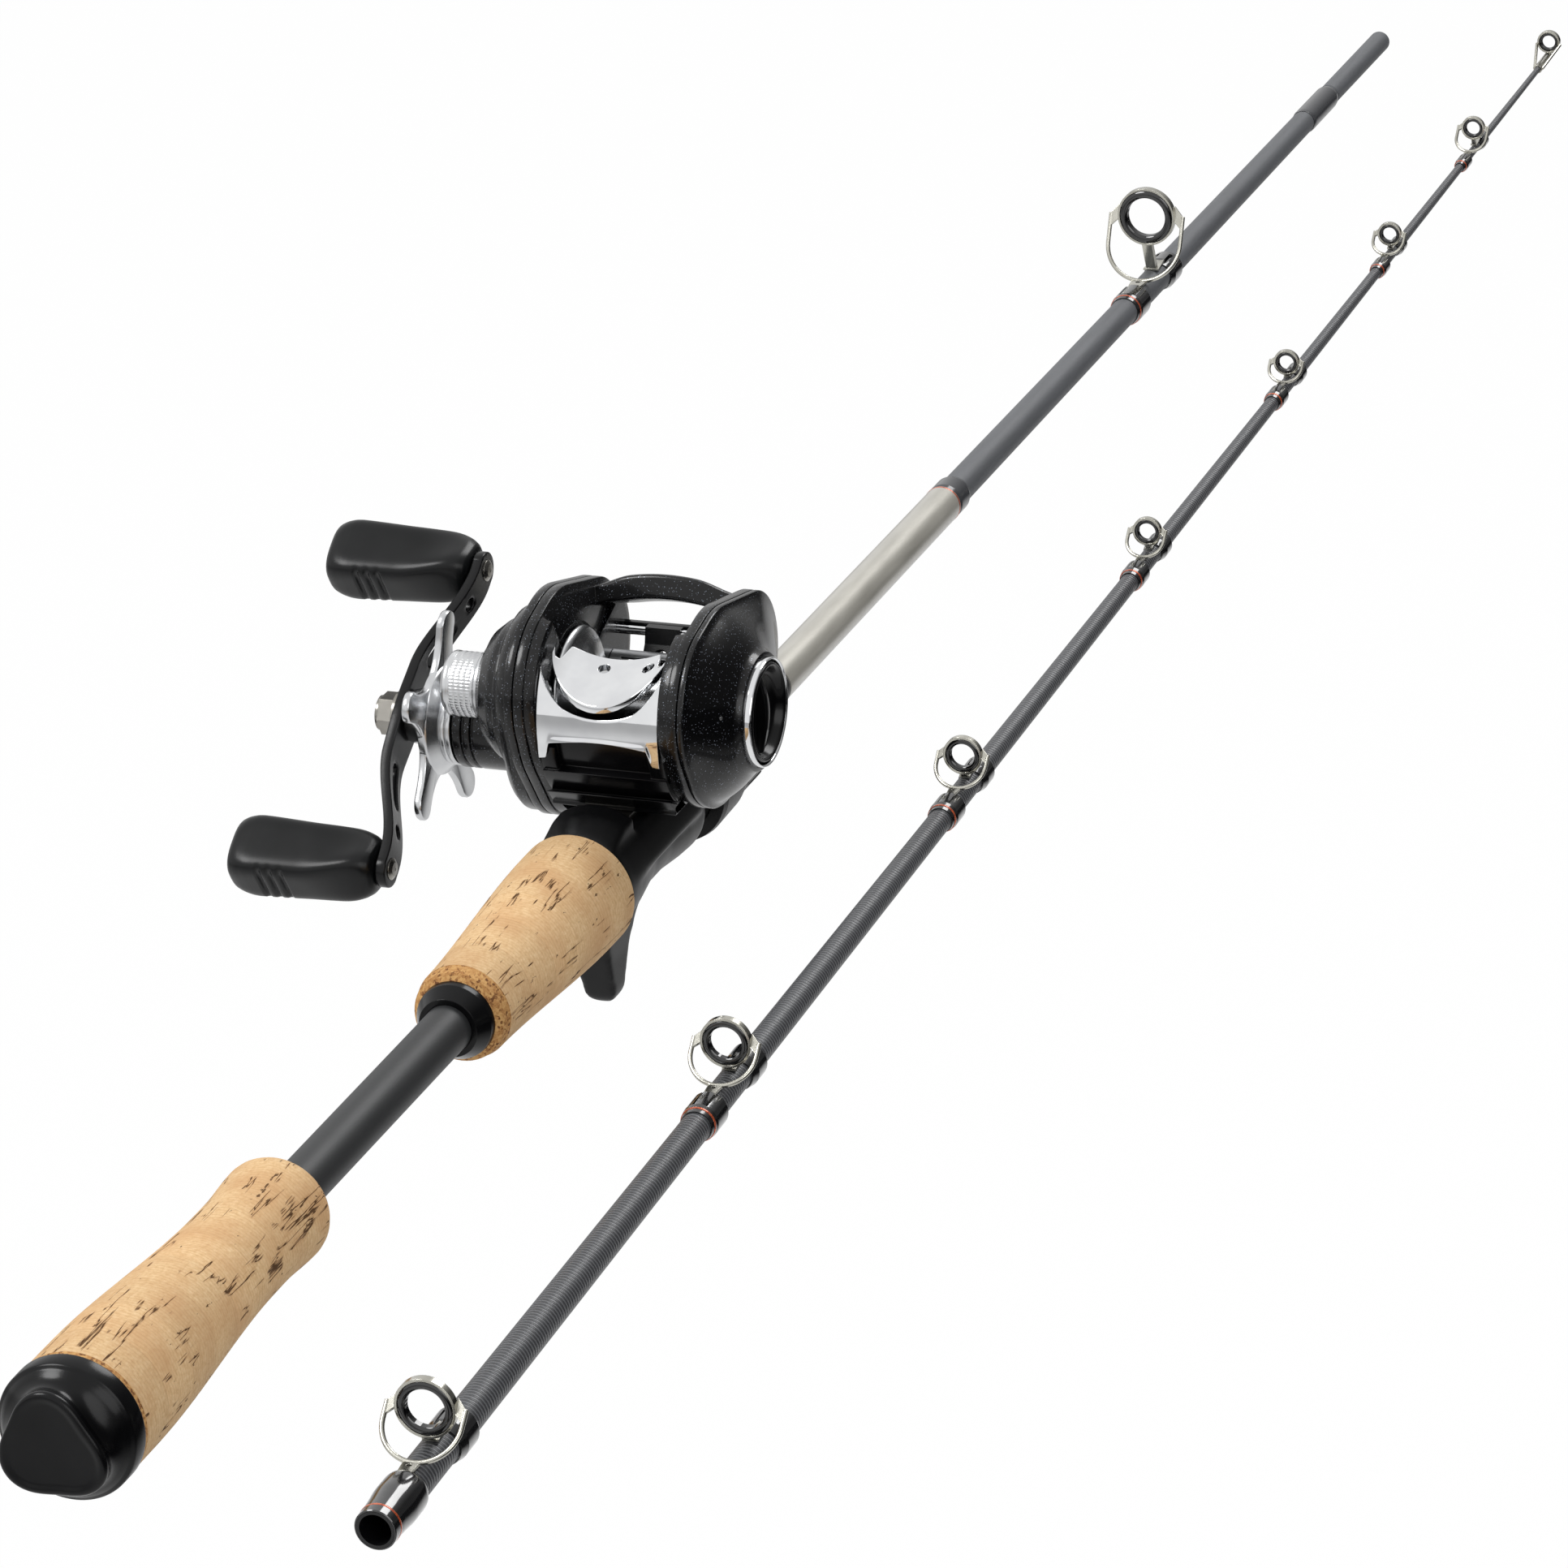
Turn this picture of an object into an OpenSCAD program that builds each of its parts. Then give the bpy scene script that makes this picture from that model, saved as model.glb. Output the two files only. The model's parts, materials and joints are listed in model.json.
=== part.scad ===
// Two-piece casting rod with a left-hand low-profile baitcasting reel.
// Millimetres. The rod axis is X (tip at +X), +Z is the reel side, +Y the handle side.
// The origin is on the rod axis in the middle of the bare stretch between the two cork grips,
// where a rack clip takes hold. Places along the butt section are stations, counted from
// the butt cap; the reel is drawn around its spool axis.

/* [Rod] */
// Length of each rod section, butt joint or ferrule mouth to far end
section_l = 930; // [880:10:980]
// Blank diameter inside the butt cap
blank_butt_d = 10.1; // [9.9:0.1:10.2]
// Blank diameter where the spigot is glued in
blank_end_d = 6.5; // [6.5:0.1:6.8]
// Wall of the blank
blank_wall = 1.3; // [1.2:0.1:1.4]
// Outer diameter of the ferrule mouth of the tip section
tip_mouth_d = 7.6; // [7.5:0.1:8]
// Outer diameter of the blank at the tip-top
tip_end_d = 1.6; // [1.5:0.1:1.8]
// Diameter of the smooth sleeve between the grips
handle_sleeve_d = 10.6; // [10.5:0.1:11]

/* [Grips] */
// Largest diameter of the rear cork grip
rear_grip_d = 28; // [26:0.5:29]
// Waist diameter of the rear cork grip
rear_waist_d = 22; // [20:0.5:24]
// Front diameter of the fore grip
fore_grip_d = 27.4; // [26.6:0.1:28]
// Rear diameter of the fore grip
fore_tail_d = 21.4; // [20:0.2:22]
// Depth of the trigger below the rod axis
trigger_depth = 31.6; // [30:0.2:34]

/* [Reel] */
// Station of the spool axis along the butt section
reel_s = 296; // [294:1:297]
// Height of the spool axis above the rod axis
reel_h = 31.3; // [31.2:0.1:32.4]
// Clear width between the two frame plates
frame_gap = 28.7; // [28.7:0.1:29.1]
// Radius of the side plates around the spool axis
plate_r = 22.8; // [22.4:0.1:23.2]
// Radius of the spool flanges
flange_r = 15; // [14.4:0.1:15.1]
// Distance between the two knob posts of the handle
handle_l = 80; // [76:1:86]
// Length of a handle knob
knob_l = 35; // [32:1:37]
// Teeth on the drive gear
gear_teeth = 45; // [45:45:45]
// Teeth on the pinion
pinion_teeth = 9; // [9:9:9]

/* [Hidden] */
$fn = 64;

// --- stations along the butt section ---
clip_s = 145;
cap_l = 10;
rear_grip_l = 99;
butt_ring_l = 3.5;
fore_s = 190;
sleeve_lap = 20;        // how far the inner sleeve reaches into the fore grip
fore_ring_l = 4;
seat_s = 260;
seat_body_end = 312;
thread_end = 366;
barrel_end = 385;
sleeve_s = 385.5;
sleeve_end = 512;
trim_end = 521;
stripper_s = 689;
stripper_r = 8;
stripper_h = 20;
stripper_rake = 0.48;   // backward slope of the guide's loop
spigot_l = 60;
blank_l = section_l - spigot_l;
spigot_d = 6.2;
spigot_tip_d = 6.2;
slip = 0.05;            // radial room of a glued or pressed fit
run = 0.1;              // radial room of a turning fit

// --- reel seat and hood ---
seat_r = 12.3;
barrel_r = 9.6;
foot_z = 9.7;
foot_t = 1.6;
foot_l = 60;
foot_w = 12;
hood_s = 319;
hood_l = 19;
nut_s = hood_s + hood_l + 0.4;
nut_l = 13;

// --- tip section placed beside the butt section ---
tip_at = [-8.5, -64.5, -8];
tip_yaw = 0.66;
tip_pitch = -0.51;
tip_roll = 0.5;
tip_l = section_l;
frame_t = 0.55;          // wall of a guide's ring frame
// station of each guide, height of its ring and outer radius of its ring frame
guide_s = [27, 194, 355, 504, 634, 742, 838];
guide_rake = 1.1;
guide_foot_t = 0.35;    // height of a guide foot's upper face over the blank
guide_h = [11.5, 10.2, 8.7, 7.4, 6.2, 6.2, 6.8];
guide_r = [6.2, 5.6, 4.6, 3.65, 3.45, 3.35, 3.4];
top_r = 3.4;
top_h = 4.3;            // ring of the tip guide: radius and height over the rod axis

// --- reel, around the spool axis ---
reel_y = -1.45;         // middle of the spool, to the palm side of the rod axis
half_gap = frame_gap / 2;
plate_t = 5;
plate_y = half_gap + plate_t;
gear_rim = 2.1;
palm_rim = 1.4;
// the plates are outlined by circles, [x, z, radius]
gear_main = [0, 1.4, plate_r + 0.4];
gear_rear = [-6, 4.5, 18.6];
gear_drop = [3.5, -9.8, 19.6];
front_lobe = [20.5, 3.2, 16];
palm_main = [0, 0.5, plate_r];
palm_rear = [-6.8, 3.5, 18.4];
bulge_y = 26.8;
dome_y = 34.5;
palm_face = 30.2;
cover_t = 1.8;
shoulder_r = flange_r + 0.8;
shoulder_y = 12.4;
deck_z = foot_z + foot_t - reel_h;

// --- gear train; all axes run along Y, placed by [x, z] ---
drive_at = [9, -12.8];
worm_at = [24.5, -3.5];
bar_at = [28.5, 4.8];
idler_teeth = 32;
cog_teeth = 14;
gear_pitch_r = norm(drive_at) * gear_teeth / (gear_teeth + pinion_teeth);
pinion_pitch_r = norm(drive_at) * pinion_teeth / (gear_teeth + pinion_teeth);
gear_module = 2 * norm(drive_at) / (gear_teeth + pinion_teeth);
idler_pitch_r = norm(worm_at - drive_at) * idler_teeth / (idler_teeth + cog_teeth);
cog_pitch_r = norm(worm_at - drive_at) * cog_teeth / (idler_teeth + cog_teeth);
cog_module = 2 * norm(worm_at - drive_at) / (idler_teeth + cog_teeth);
tooth_share = 0.48;
spool_shaft_r = 1.5;
drive_shaft_r = 3;
worm_r = 2.2;
bar_r = 1;
gear_y = [21.1, 24.3];
cog_y = [19.7, 20.8];
bearing_r = 4.5;
bearing_w = 2.6;

// --- handle, drag star and caps ---
boss_r = 10.4;
boss_end = 44.5;
cap_y = 34.9;
cap_end = 44.5;
cap_r = 7.4;
handle_angle = 36.5;
hub_y = 58.2;
arm_t = 2.4;
arm_drop = 6.8;
post_y = hub_y - arm_drop;
post_r = 1.6;
star_angle = 8;
star_arms = 5;
star_r = 25;
star_y = 50;
star_t = 1.9;

// --- thumb bar: a shallow trough whose axis slopes down to the rear ---
trough_r = 26;
bar_t = 1.6;
trough_slope = 20;
trough_from = [-9.2, 13.2];
lip_r = 13.9;           // rounded rear edge, seen from above
lip_x = -10;
bar_travel = 3;
bar_dive = 46.5;        // direction of travel below the rear horizon

// --- colours ---
cork = "burlywood";
dark_cork = "peru";
black = [0.1, 0.1, 0.11];
graphite = [0.3, 0.3, 0.3];
silver = [0.8, 0.8, 0.8];
chrome = [0.9, 0.9, 0.92];
brass = [0.8, 0.65, 0.3];

// --- helpers ---
function ease(t) = t < 0 ? 0 : t > 1 ? 1 : t * t * (3 - 2 * t);
function blank_r(s) = (blank_butt_d + (blank_end_d - blank_butt_d) * s / blank_l) / 2;
function tip_r(s) = (tip_mouth_d + (tip_end_d - tip_mouth_d) * s / tip_l) / 2;

// moves to a station on the butt section
module at(s) translate([s - clip_s, 0, 0]) children();
// moves to the spool axis of the reel
module on_reel() at(reel_s) translate([0, reel_y, reel_h]) children();
// places the tip section beside the butt section
module on_tip() translate([tip_at[0] - clip_s, tip_at[1], tip_at[2]])
    rotate([0, tip_pitch, tip_yaw]) rotate([tip_roll, 0, 0]) children();
// turns a profile of [radius, station] points around the rod axis
module turned(points) rotate([0, 90, 0]) rotate_extrude() polygon(points);
// a plain tube along the rod axis
module tube(r0, r1, s0, s1) turned([[r0, s0], [r1, s0], [r1, s1], [r0, s1]]);
// a bar along the rod axis
module rod(r, s0, s1) translate([s0, 0, 0]) rotate([0, 90, 0]) cylinder(r = r, h = s1 - s0);
// turns a profile of [radius, y] points around the reel's Y direction
module spun(points) rotate([90, 0, 0]) mirror([0, 0, 1]) rotate_extrude() polygon(points);
// a disc between two y planes
module disc(r, y0, y1) rotate([90, 0, 0]) translate([0, 0, -y1]) cylinder(r = r, h = y1 - y0);
// extrudes an [x, z] outline between two y planes
module slab(y0, y1) rotate([90, 0, 0]) translate([0, 0, -y1]) linear_extrude(y1 - y0) children();
// a ring sector, angles from +X towards +Z
module sector(r0, r1, a0, a1, y0, y1) rotate([90, 0, 0]) rotate([0, 0, a0])
    rotate_extrude(angle = a1 - a0) translate([r0, -y1]) square([r1 - r0, y1 - y0]);
// moves across the reel to an [x, z] place
module across(p) translate([p[0], 0, p[1]]) children();

// outline of two circles joined by their common tangents
module pear(r1, r2, p) {
    d = norm(p);
    turn = atan2(p[1], p[0]);
    lean = acos((r1 - r2) / d);
    rotate(turn) {
        circle(r1);
        translate([d, 0]) circle(r2);
        // sides a hair inside the tangents, so that they meet the circles at clear corners
        polygon([for (c = [[0, r1, 1], [0, r1, -1], [d, r2, -1], [d, r2, 1]])
            [c[0] + (c[1] - 0.02) * cos(lean), c[2] * (c[1] - 0.02) * sin(lean)]]);
    }
}

// the same between two circles given as [x, z, radius], both shrunk by an inset
module lobes(p, q, inset) translate([p[0], p[1]])
    pear(p[2] - inset, q[2] - inset, [q[0] - p[0], q[1] - p[1]]);

// outline of the palm side, shrunk all round by an inset
module palm_outline(inset = 0) {
    lobes(palm_main, palm_rear, inset);
    lobes(palm_main, front_lobe, inset);
}

// outline of the gear side, with the drop round the drive gear
module gear_outline(inset = 0) {
    lobes(gear_main, gear_rear, inset);
    lobes(gear_main, front_lobe, inset);
    lobes(gear_main, gear_drop, inset);
    lobes(gear_rear, gear_drop, inset);
    lobes(gear_drop, front_lobe, inset);
    // over the drive gear
    translate(drive_at) circle(15.2 - inset);
}

// an [r, y] profile turned about Y between two angles
module arc_bar(points, a0, a1) rotate([90, 0, 0]) rotate([0, 0, a0])
    rotate_extrude(angle = a1 - a0) polygon([for (p = points) [p[0], -p[1]]]);

// outline of a straight-cut gear
module gear_outline_2d(teeth, pitch_r, addendum, dedendum, share) {
    step = 360 / teeth;
    circle(pitch_r - dedendum);
    for (i = [0 : teeth - 1]) rotate(i * step) polygon([
        [pitch_r - dedendum - 0.2, -step * share * 0.0105 * pitch_r],
        [pitch_r + addendum, -step * share * 0.005 * pitch_r],
        [pitch_r + addendum, step * share * 0.005 * pitch_r],
        [pitch_r - dedendum - 0.2, step * share * 0.0105 * pitch_r]]);
}

// ------------------------------------------------------------------ butt section
module butt_cap() color(black) at(0) {
    round_r = 5;
    cap_r_out = rear_grip_d / 2 + 0.25;
    bore = blank_r(0) + slip;
    difference() {
        turned(concat([[0, 0], [0, -cap_l]],
            [for (a = [0 : 10 : 90]) [cap_r_out - round_r + round_r * sin(a),
                -cap_l + round_r - round_r * cos(a)]],
            [[cap_r_out, 0]]));
        rod(bore, -5, 1);
    }
    // raised pad with three rounded sides on the end face
    translate([-cap_l - 0.9, 0, 0]) rotate([0, 90, 0]) linear_extrude(1) intersection_for(i = [0 : 2])
        rotate(120 * i + 60) translate([4.5, 0]) circle(11.5);
}

module cork_rings() color(dark_cork) {
    at(0) tube(blank_r(0) + slip, rear_grip_d / 2, 0, butt_ring_l);
    at(fore_s) turned([[handle_sleeve_d / 2 + slip, 0], [fore_tail_d / 2 - 2, 0],
        [fore_tail_d / 2 - 0.6, 1.1], [fore_tail_d / 2, fore_ring_l], [handle_sleeve_d / 2 + slip, fore_ring_l]]);
}

function rear_r(s) = rear_grip_d / 2 - (rear_grip_d - rear_waist_d) / 2 * ease((s - 14) / 60)
    + 0.7 * ease((s - 80) / 14);

module rear_grip() color(cork) at(0) {
    nose_r = 5;
    nose_s = rear_grip_l - nose_r;
    sleeve_from = 80;
    turned(concat(
        [[blank_r(0) + slip, butt_ring_l]],
        [for (s = [butt_ring_l : (nose_s - butt_ring_l) / 30 : nose_s + 0.01]) [rear_r(s), s]],
        [for (a = [15 : 15 : 90]) [rear_r(nose_s) - nose_r + nose_r * cos(a), nose_s + nose_r * sin(a)]],
        [[handle_sleeve_d / 2 + slip, rear_grip_l], [handle_sleeve_d / 2 + slip, sleeve_from],
            [blank_r(0) + slip, sleeve_from]]));
}

module handle_sleeve() color(graphite) at(0)
    tube(blank_r(80) + slip, handle_sleeve_d / 2, 80, 210);

module butt_blank() color(graphite) at(0) {
    turned([[blank_r(0) - blank_wall, -4.9], [blank_r(0), -4.9], [blank_r(0), 0],
        [blank_r(blank_l), blank_l], [spigot_d / 2 + slip, blank_l],
        [spigot_d / 2 + slip, blank_l - 0.5], [blank_r(blank_l) - blank_wall, blank_l - 0.5]]);
}

module winding_check() color(black) at(fore_s)
    turned([[handle_sleeve_d / 2 + slip, -5], [handle_sleeve_d / 2 + 1.3, -5], [8.5, -1.6],
        [8.7, 0], [handle_sleeve_d / 2 + slip, 0]]);

module fore_grip() color(cork) at(fore_s) {
    grip_l = seat_s - fore_s;
    turned(concat(
        [[handle_sleeve_d / 2 + slip, fore_ring_l]],
        [for (s = [fore_ring_l : (grip_l - 1 - fore_ring_l) / 24 : grip_l - 0.99])
            [fore_tail_d / 2 + (fore_grip_d - fore_tail_d) / 2 * ease(s / (grip_l - 4)), s]],
        [[fore_grip_d / 2 - 0.8, grip_l], [blank_r(fore_s + sleeve_lap) + slip, grip_l],
            [blank_r(fore_s + sleeve_lap) + slip, sleeve_lap + slip],
            [handle_sleeve_d / 2 + slip, sleeve_lap + slip]]));
}

// side view of the trigger
module trigger_side() polygon(concat(
    [[263, -4], [263.6, -12], [266, -20]],
    [for (a = [190 : 20 : 350]) [272.4 + 3.7 * cos(a), -trigger_depth + 3.7 + 3.7 * sin(a)]],
    [[277, -24], [279, -19], [281.4, -15], [284.4, -12], [288, -9.6], [294, -7], [300, -4]]));

// front view of the trigger
module trigger_front() polygon(concat([[-6.6, -4], [-5, -12], [-4.2, -20]],
    [for (a = [180 : 20 : 360]) [3.9 * cos(a), -trigger_depth + 3.9 + 3.9 * sin(a)]],
    [[4.2, -20], [5, -12], [6.6, -4]]));

module reel_seat() color(black) at(0) difference() {
    union() {
        // grip body, swelling to meet the cork
        turned([[0, seat_s], [fore_grip_d / 2 - 0.9, seat_s], [fore_grip_d / 2 - 1.2, seat_s + 4],
            [11.6, seat_s + 12], [10.2, seat_s + 22], [10.2, seat_s + 32], [11.2, seat_s + 42],
            [11.6, seat_body_end - 3], [barrel_r + 1, seat_body_end], [barrel_r, seat_body_end],
            [barrel_r, thread_end - 2], [6.6, thread_end + 1],
            [5.6, thread_end + 8], [5.2, barrel_end], [0, barrel_end]]);
        // wider upper half that carries the saddle
        intersection() {
            turned([[0, seat_s + 2], [fore_grip_d / 2 - 1.2, seat_s + 4], [seat_r, seat_s + 14],
                [seat_r, seat_body_end - 6], [barrel_r + 1, seat_body_end], [0, seat_body_end]]);
            translate([seat_s, -15, 1]) cube([seat_body_end - seat_s, 30, 15]);
        }
        // fixed hood over the rear end of the reel foot
        intersection() {
            turned([[0, seat_s + 0.6], [13, seat_s + 0.6], [15, seat_s + 8], [15.2, seat_s + 14], [0, seat_s + 14]]);
            translate([seat_s, -8.6, 0]) cube([20, 17.2, 20]);
        }
        // trigger
        intersection() {
            rotate([90, 0, 0]) translate([0, 0, -10]) linear_extrude(20) trigger_side();
            translate([250, 0, 0]) rotate([90, 0, 90]) linear_extrude(70) trigger_front();
        }
    }
    // bore for the blank
    rod(blank_r(seat_s) + 0.1, seat_s - 1, barrel_end + 1);
    // saddle for the reel foot and the pocket under the fixed hood
    translate([seat_s + 14, -20, foot_z]) cube([seat_body_end - seat_s, 40, 10]);
    translate([reel_s - foot_l / 2 - 0.3, -foot_w / 2 - 0.3, foot_z]) cube([40, foot_w + 0.6, foot_t + 0.3]);
    // thread on the barrel, as ring grooves
    for (s = [nut_s - 6 : 2 : thread_end - 4]) at_groove(s);
}

// one groove of the barrel thread
module at_groove(s) tube(barrel_r - 0.5, barrel_r + 1, s, s + 1);

module seat_hood() color(black) at(hood_s) difference() {
    turned([[barrel_r + run, 0], [12.6, 0], [13, 2], [12.8, 14], [12, hood_l], [barrel_r + run, hood_l]]);
    translate([-1, -foot_w / 2 - 0.4, 0]) cube([9, foot_w + 0.8, foot_z + foot_t + 0.35]);
}

module lock_nut() color(black) at(nut_s) difference() {
    turned([[barrel_r + run, 0], [11.6, 0], [12, 0.8], [12, nut_l - 1.5], [11, nut_l], [barrel_r + run, nut_l]]);
    for (a = [0 : 24 : 359]) rotate([a, 0, 0]) translate([1.6, 0, 12.5]) rotate([0, 90, 0])
        cylinder(r = 0.9, h = nut_l, $fn = 16);
}

module silver_sleeve() color([0.78, 0.77, 0.72]) at(0)
    turned([[blank_r(sleeve_s) + slip, sleeve_s], [4.9, sleeve_s], [4.75, sleeve_end],
        [blank_r(sleeve_s) + slip, sleeve_end]]);

// a thread wrap under lacquer: a low barrel with feathered ends
module wrap(r_in0, r_in1, s0, s1, build) turned([[r_in0 + slip / 2, s0], [r_in0 + build * 0.4, s0],
    [r_in0 + build, s0 + 1.5], [r_in1 + build, s1 - 1.5], [r_in1 + build * 0.4, s1], [r_in1 + slip / 2, s1]]);

module clear_wraps() color([0.75, 0.75, 0.72]) at(0) {
    wrap(blank_r(sleeve_end), blank_r(trim_end), sleeve_end + 0.1, trim_end, 0.75);
    wrap(blank_r(blank_l - 26), blank_r(blank_l), blank_l - 26, blank_l, 0.3);
}

module spigot() color([0.5, 0.5, 0.5]) at(0) {
    tip_round = 1.2;
    turned(concat([[0, blank_l - 45], [blank_r(blank_l) - blank_wall - slip, blank_l - 45],
        [blank_r(blank_l) - blank_wall - slip, blank_l - 0.5], [spigot_d / 2 - 0.4, blank_l - 0.5],
        [spigot_d / 2 - 0.4, blank_l + 1.5], [spigot_d / 2, blank_l + 2]],
        [for (a = [0 : 15 : 90]) [spigot_tip_d / 2 - tip_round + tip_round * cos(a),
            section_l - tip_round + tip_round * sin(a)]],
        [[0, section_l]]));
}

// ------------------------------------------------------------------ guides
// Local frame of a guide: the rod axis is X, the ring centre is at height h above it.
// r is the outer radius of the ring frame, rb the radius of the blank beneath.
function guide_back(h, rb, rake) = (h - rb - guide_foot_t) * rake;
function guide_lead(h, rb) = (h - rb) * 0.22;
function guide_foot_l(r) = 5 + r * 0.9;
function guide_ring_w(r) = 0.2 * r + 0.5;

module guide_ring_frame(r, w) rotate([0, 90, 0]) rotate_extrude() translate([r - frame_t, -w / 2])
    square([frame_t, w]);

// a foot: a thin spade that lies on the blank, with a keyhole near its neck
module guide_foot(rb, len, w) difference() {
    translate([0, 0, rb + 0.03]) linear_extrude(0.6) polygon([[0, -w / 2], [len * 0.3, -w * 0.42],
        [len, -w * 0.16], [len, w * 0.16], [len * 0.3, w * 0.42], [0, w / 2]]);
    translate([len * 0.16, 0, rb - 1]) cylinder(r = w * 0.16, h = 3, $fn = 24);
}

module guide_frame(r, h, rb, rake) {
    back = guide_back(h, rb, rake);
    lead = guide_lead(h, rb);
    leg = norm([back, h - rb - guide_foot_t]);
    lean = atan(rake);
    wire = 0.13 * sqrt(r) + 0.2;
    loop_r = r * 1.27;
    straight = max(leg - loop_r, 0.5);
    ring_w = guide_ring_w(r);
    // ring frame
    translate([0, 0, h]) guide_ring_frame(r, ring_w);
    // loop that sweeps from the ring's sides down to the rear foot
    translate([0, 0, h]) rotate([0, lean, 0]) {
        translate([0, 0, -straight]) rotate([90, 0, 90]) rotate([0, 0, 180])
            rotate_extrude(angle = 180) translate([loop_r, 0]) circle(wire, $fn = 20);
        for (side = [-1, 1]) {
            translate([0, side * loop_r, -straight]) cylinder(r = wire, h = straight + 0.4, $fn = 20);
            // gusset between ring and loop
            rotate([90, 0, 90]) linear_extrude(1.5 * wire, center = true)
                polygon([[side * (r - 0.3), r * 0.4], [side * (loop_r + wire * 0.4), 0.15],
                    [side * (loop_r + wire * 0.4), -r * 0.45], [side * (r - 0.3), -r * 0.12]]);
        }
    }
    // central strut to the front foot
    rotate([90, 0, 0]) linear_extrude(0.35 * r, center = true) polygon([[-ring_w * 0.4, h - r + 0.15],
        [ring_w * 0.4, h - r + 0.15], [lead + ring_w * 0.4, rb + 0.3], [lead - ring_w * 0.4, rb + 0.3]]);
    translate([lead - ring_w / 2, 0, 0]) guide_foot(rb, guide_foot_l(r), 0.55 * r);
    translate([-back + 0.1, 0, 0]) mirror([1, 0, 0]) guide_foot(rb, guide_foot_l(r), 0.55 * r);
}

// the ceramic insert of a guide
module guide_ring(r, h) translate([0, 0, h]) rotate([0, 90, 0]) rotate_extrude()
    translate([r - frame_t - slip / 2 - r * 0.13, 0]) intersection() {
        circle(r * 0.17, $fn = 24);
        square([r * 0.26, r], center = true);
    }

// thread wraps over both feet of a guide; rb0, rb1 give the blank radius at the two ends
module guide_wraps(r, h, rb, rake) {
    back = guide_back(h, rb, rake);
    lead = guide_lead(h, rb);
    len = guide_foot_l(r);
    build = 0.85;
    difference() {
        for (span = [[-back - len - 2.5, -back - 0.35 * len], [lead + 0.4 * len, lead + len + 2]])
            turned([[rb + slip, span[0]], [rb + 0.3, span[0]], [rb + build, span[0] + 2.5],
                [rb + build, span[1] - 0.6], [rb + build * 0.7, span[1]], [rb + slip, span[1]]]);
        translate([-back - len, -0.3 * r, rb]) cube([2 * len + back + lead, 0.6 * r, 0.66]);
    }
}

module stripper_frame() color(silver) at(stripper_s)
    guide_frame(stripper_r, stripper_h, blank_r(stripper_s - 16), stripper_rake);
module stripper_ring() color(black) at(stripper_s) guide_ring(stripper_r, stripper_h);
module stripper_wraps() color(black) at(stripper_s)
    guide_wraps(stripper_r, stripper_h, blank_r(stripper_s - 16), stripper_rake);

// ------------------------------------------------------------------ tip section
module tip_blank() color(graphite) on_tip() {
    socket_r = spigot_d / 2 + run;
    turned([[socket_r, 0], [tip_r(0), 0], [tip_r(tip_l), tip_l], [0, tip_l], [0, spigot_l + 4],
        [socket_r, spigot_l + 2]]);
}

module ferrule_wrap() color(black) on_tip() wrap(tip_r(0), tip_r(5.2), 0, 5.2, 0.35);

module guide_n(i) on_tip() translate([guide_s[i], 0, 0])
    guide_frame(guide_r[i], guide_h[i], tip_r(guide_s[i] - 12), guide_rake);

module tip_top_frame() color(silver) on_tip() {
    translate([tip_l + 2.5, 0, top_h]) guide_ring_frame(top_r, 1.6);
    tube(tip_r(tip_l - 14) + slip, tip_r(tip_l - 14) + 0.4, tip_l - 12, tip_l);
    rod(tip_r(tip_l - 14) + 0.4, tip_l, tip_l + 1.9);
    for (side = [-1, 1]) translate([tip_l - 11, side * 1.15, 0]) rotate([0, 74.5, 0])
        rotate([side * -10, 0, 0]) cylinder(r = 0.45, h = 13.6, $fn = 20);
}

module tip_guide_rings() color(black) on_tip() {
    for (i = [0 : 6]) translate([guide_s[i], 0, 0]) guide_ring(guide_r[i], guide_h[i]);
    translate([tip_l + 2.5, 0, 0]) guide_ring(top_r, top_h);
}

module tip_guide_wraps() color(black) on_tip() for (i = [0 : 6]) translate([guide_s[i], 0, 0])
    guide_wraps(guide_r[i], guide_h[i], tip_r(guide_s[i] - 12), guide_rake);

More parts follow.
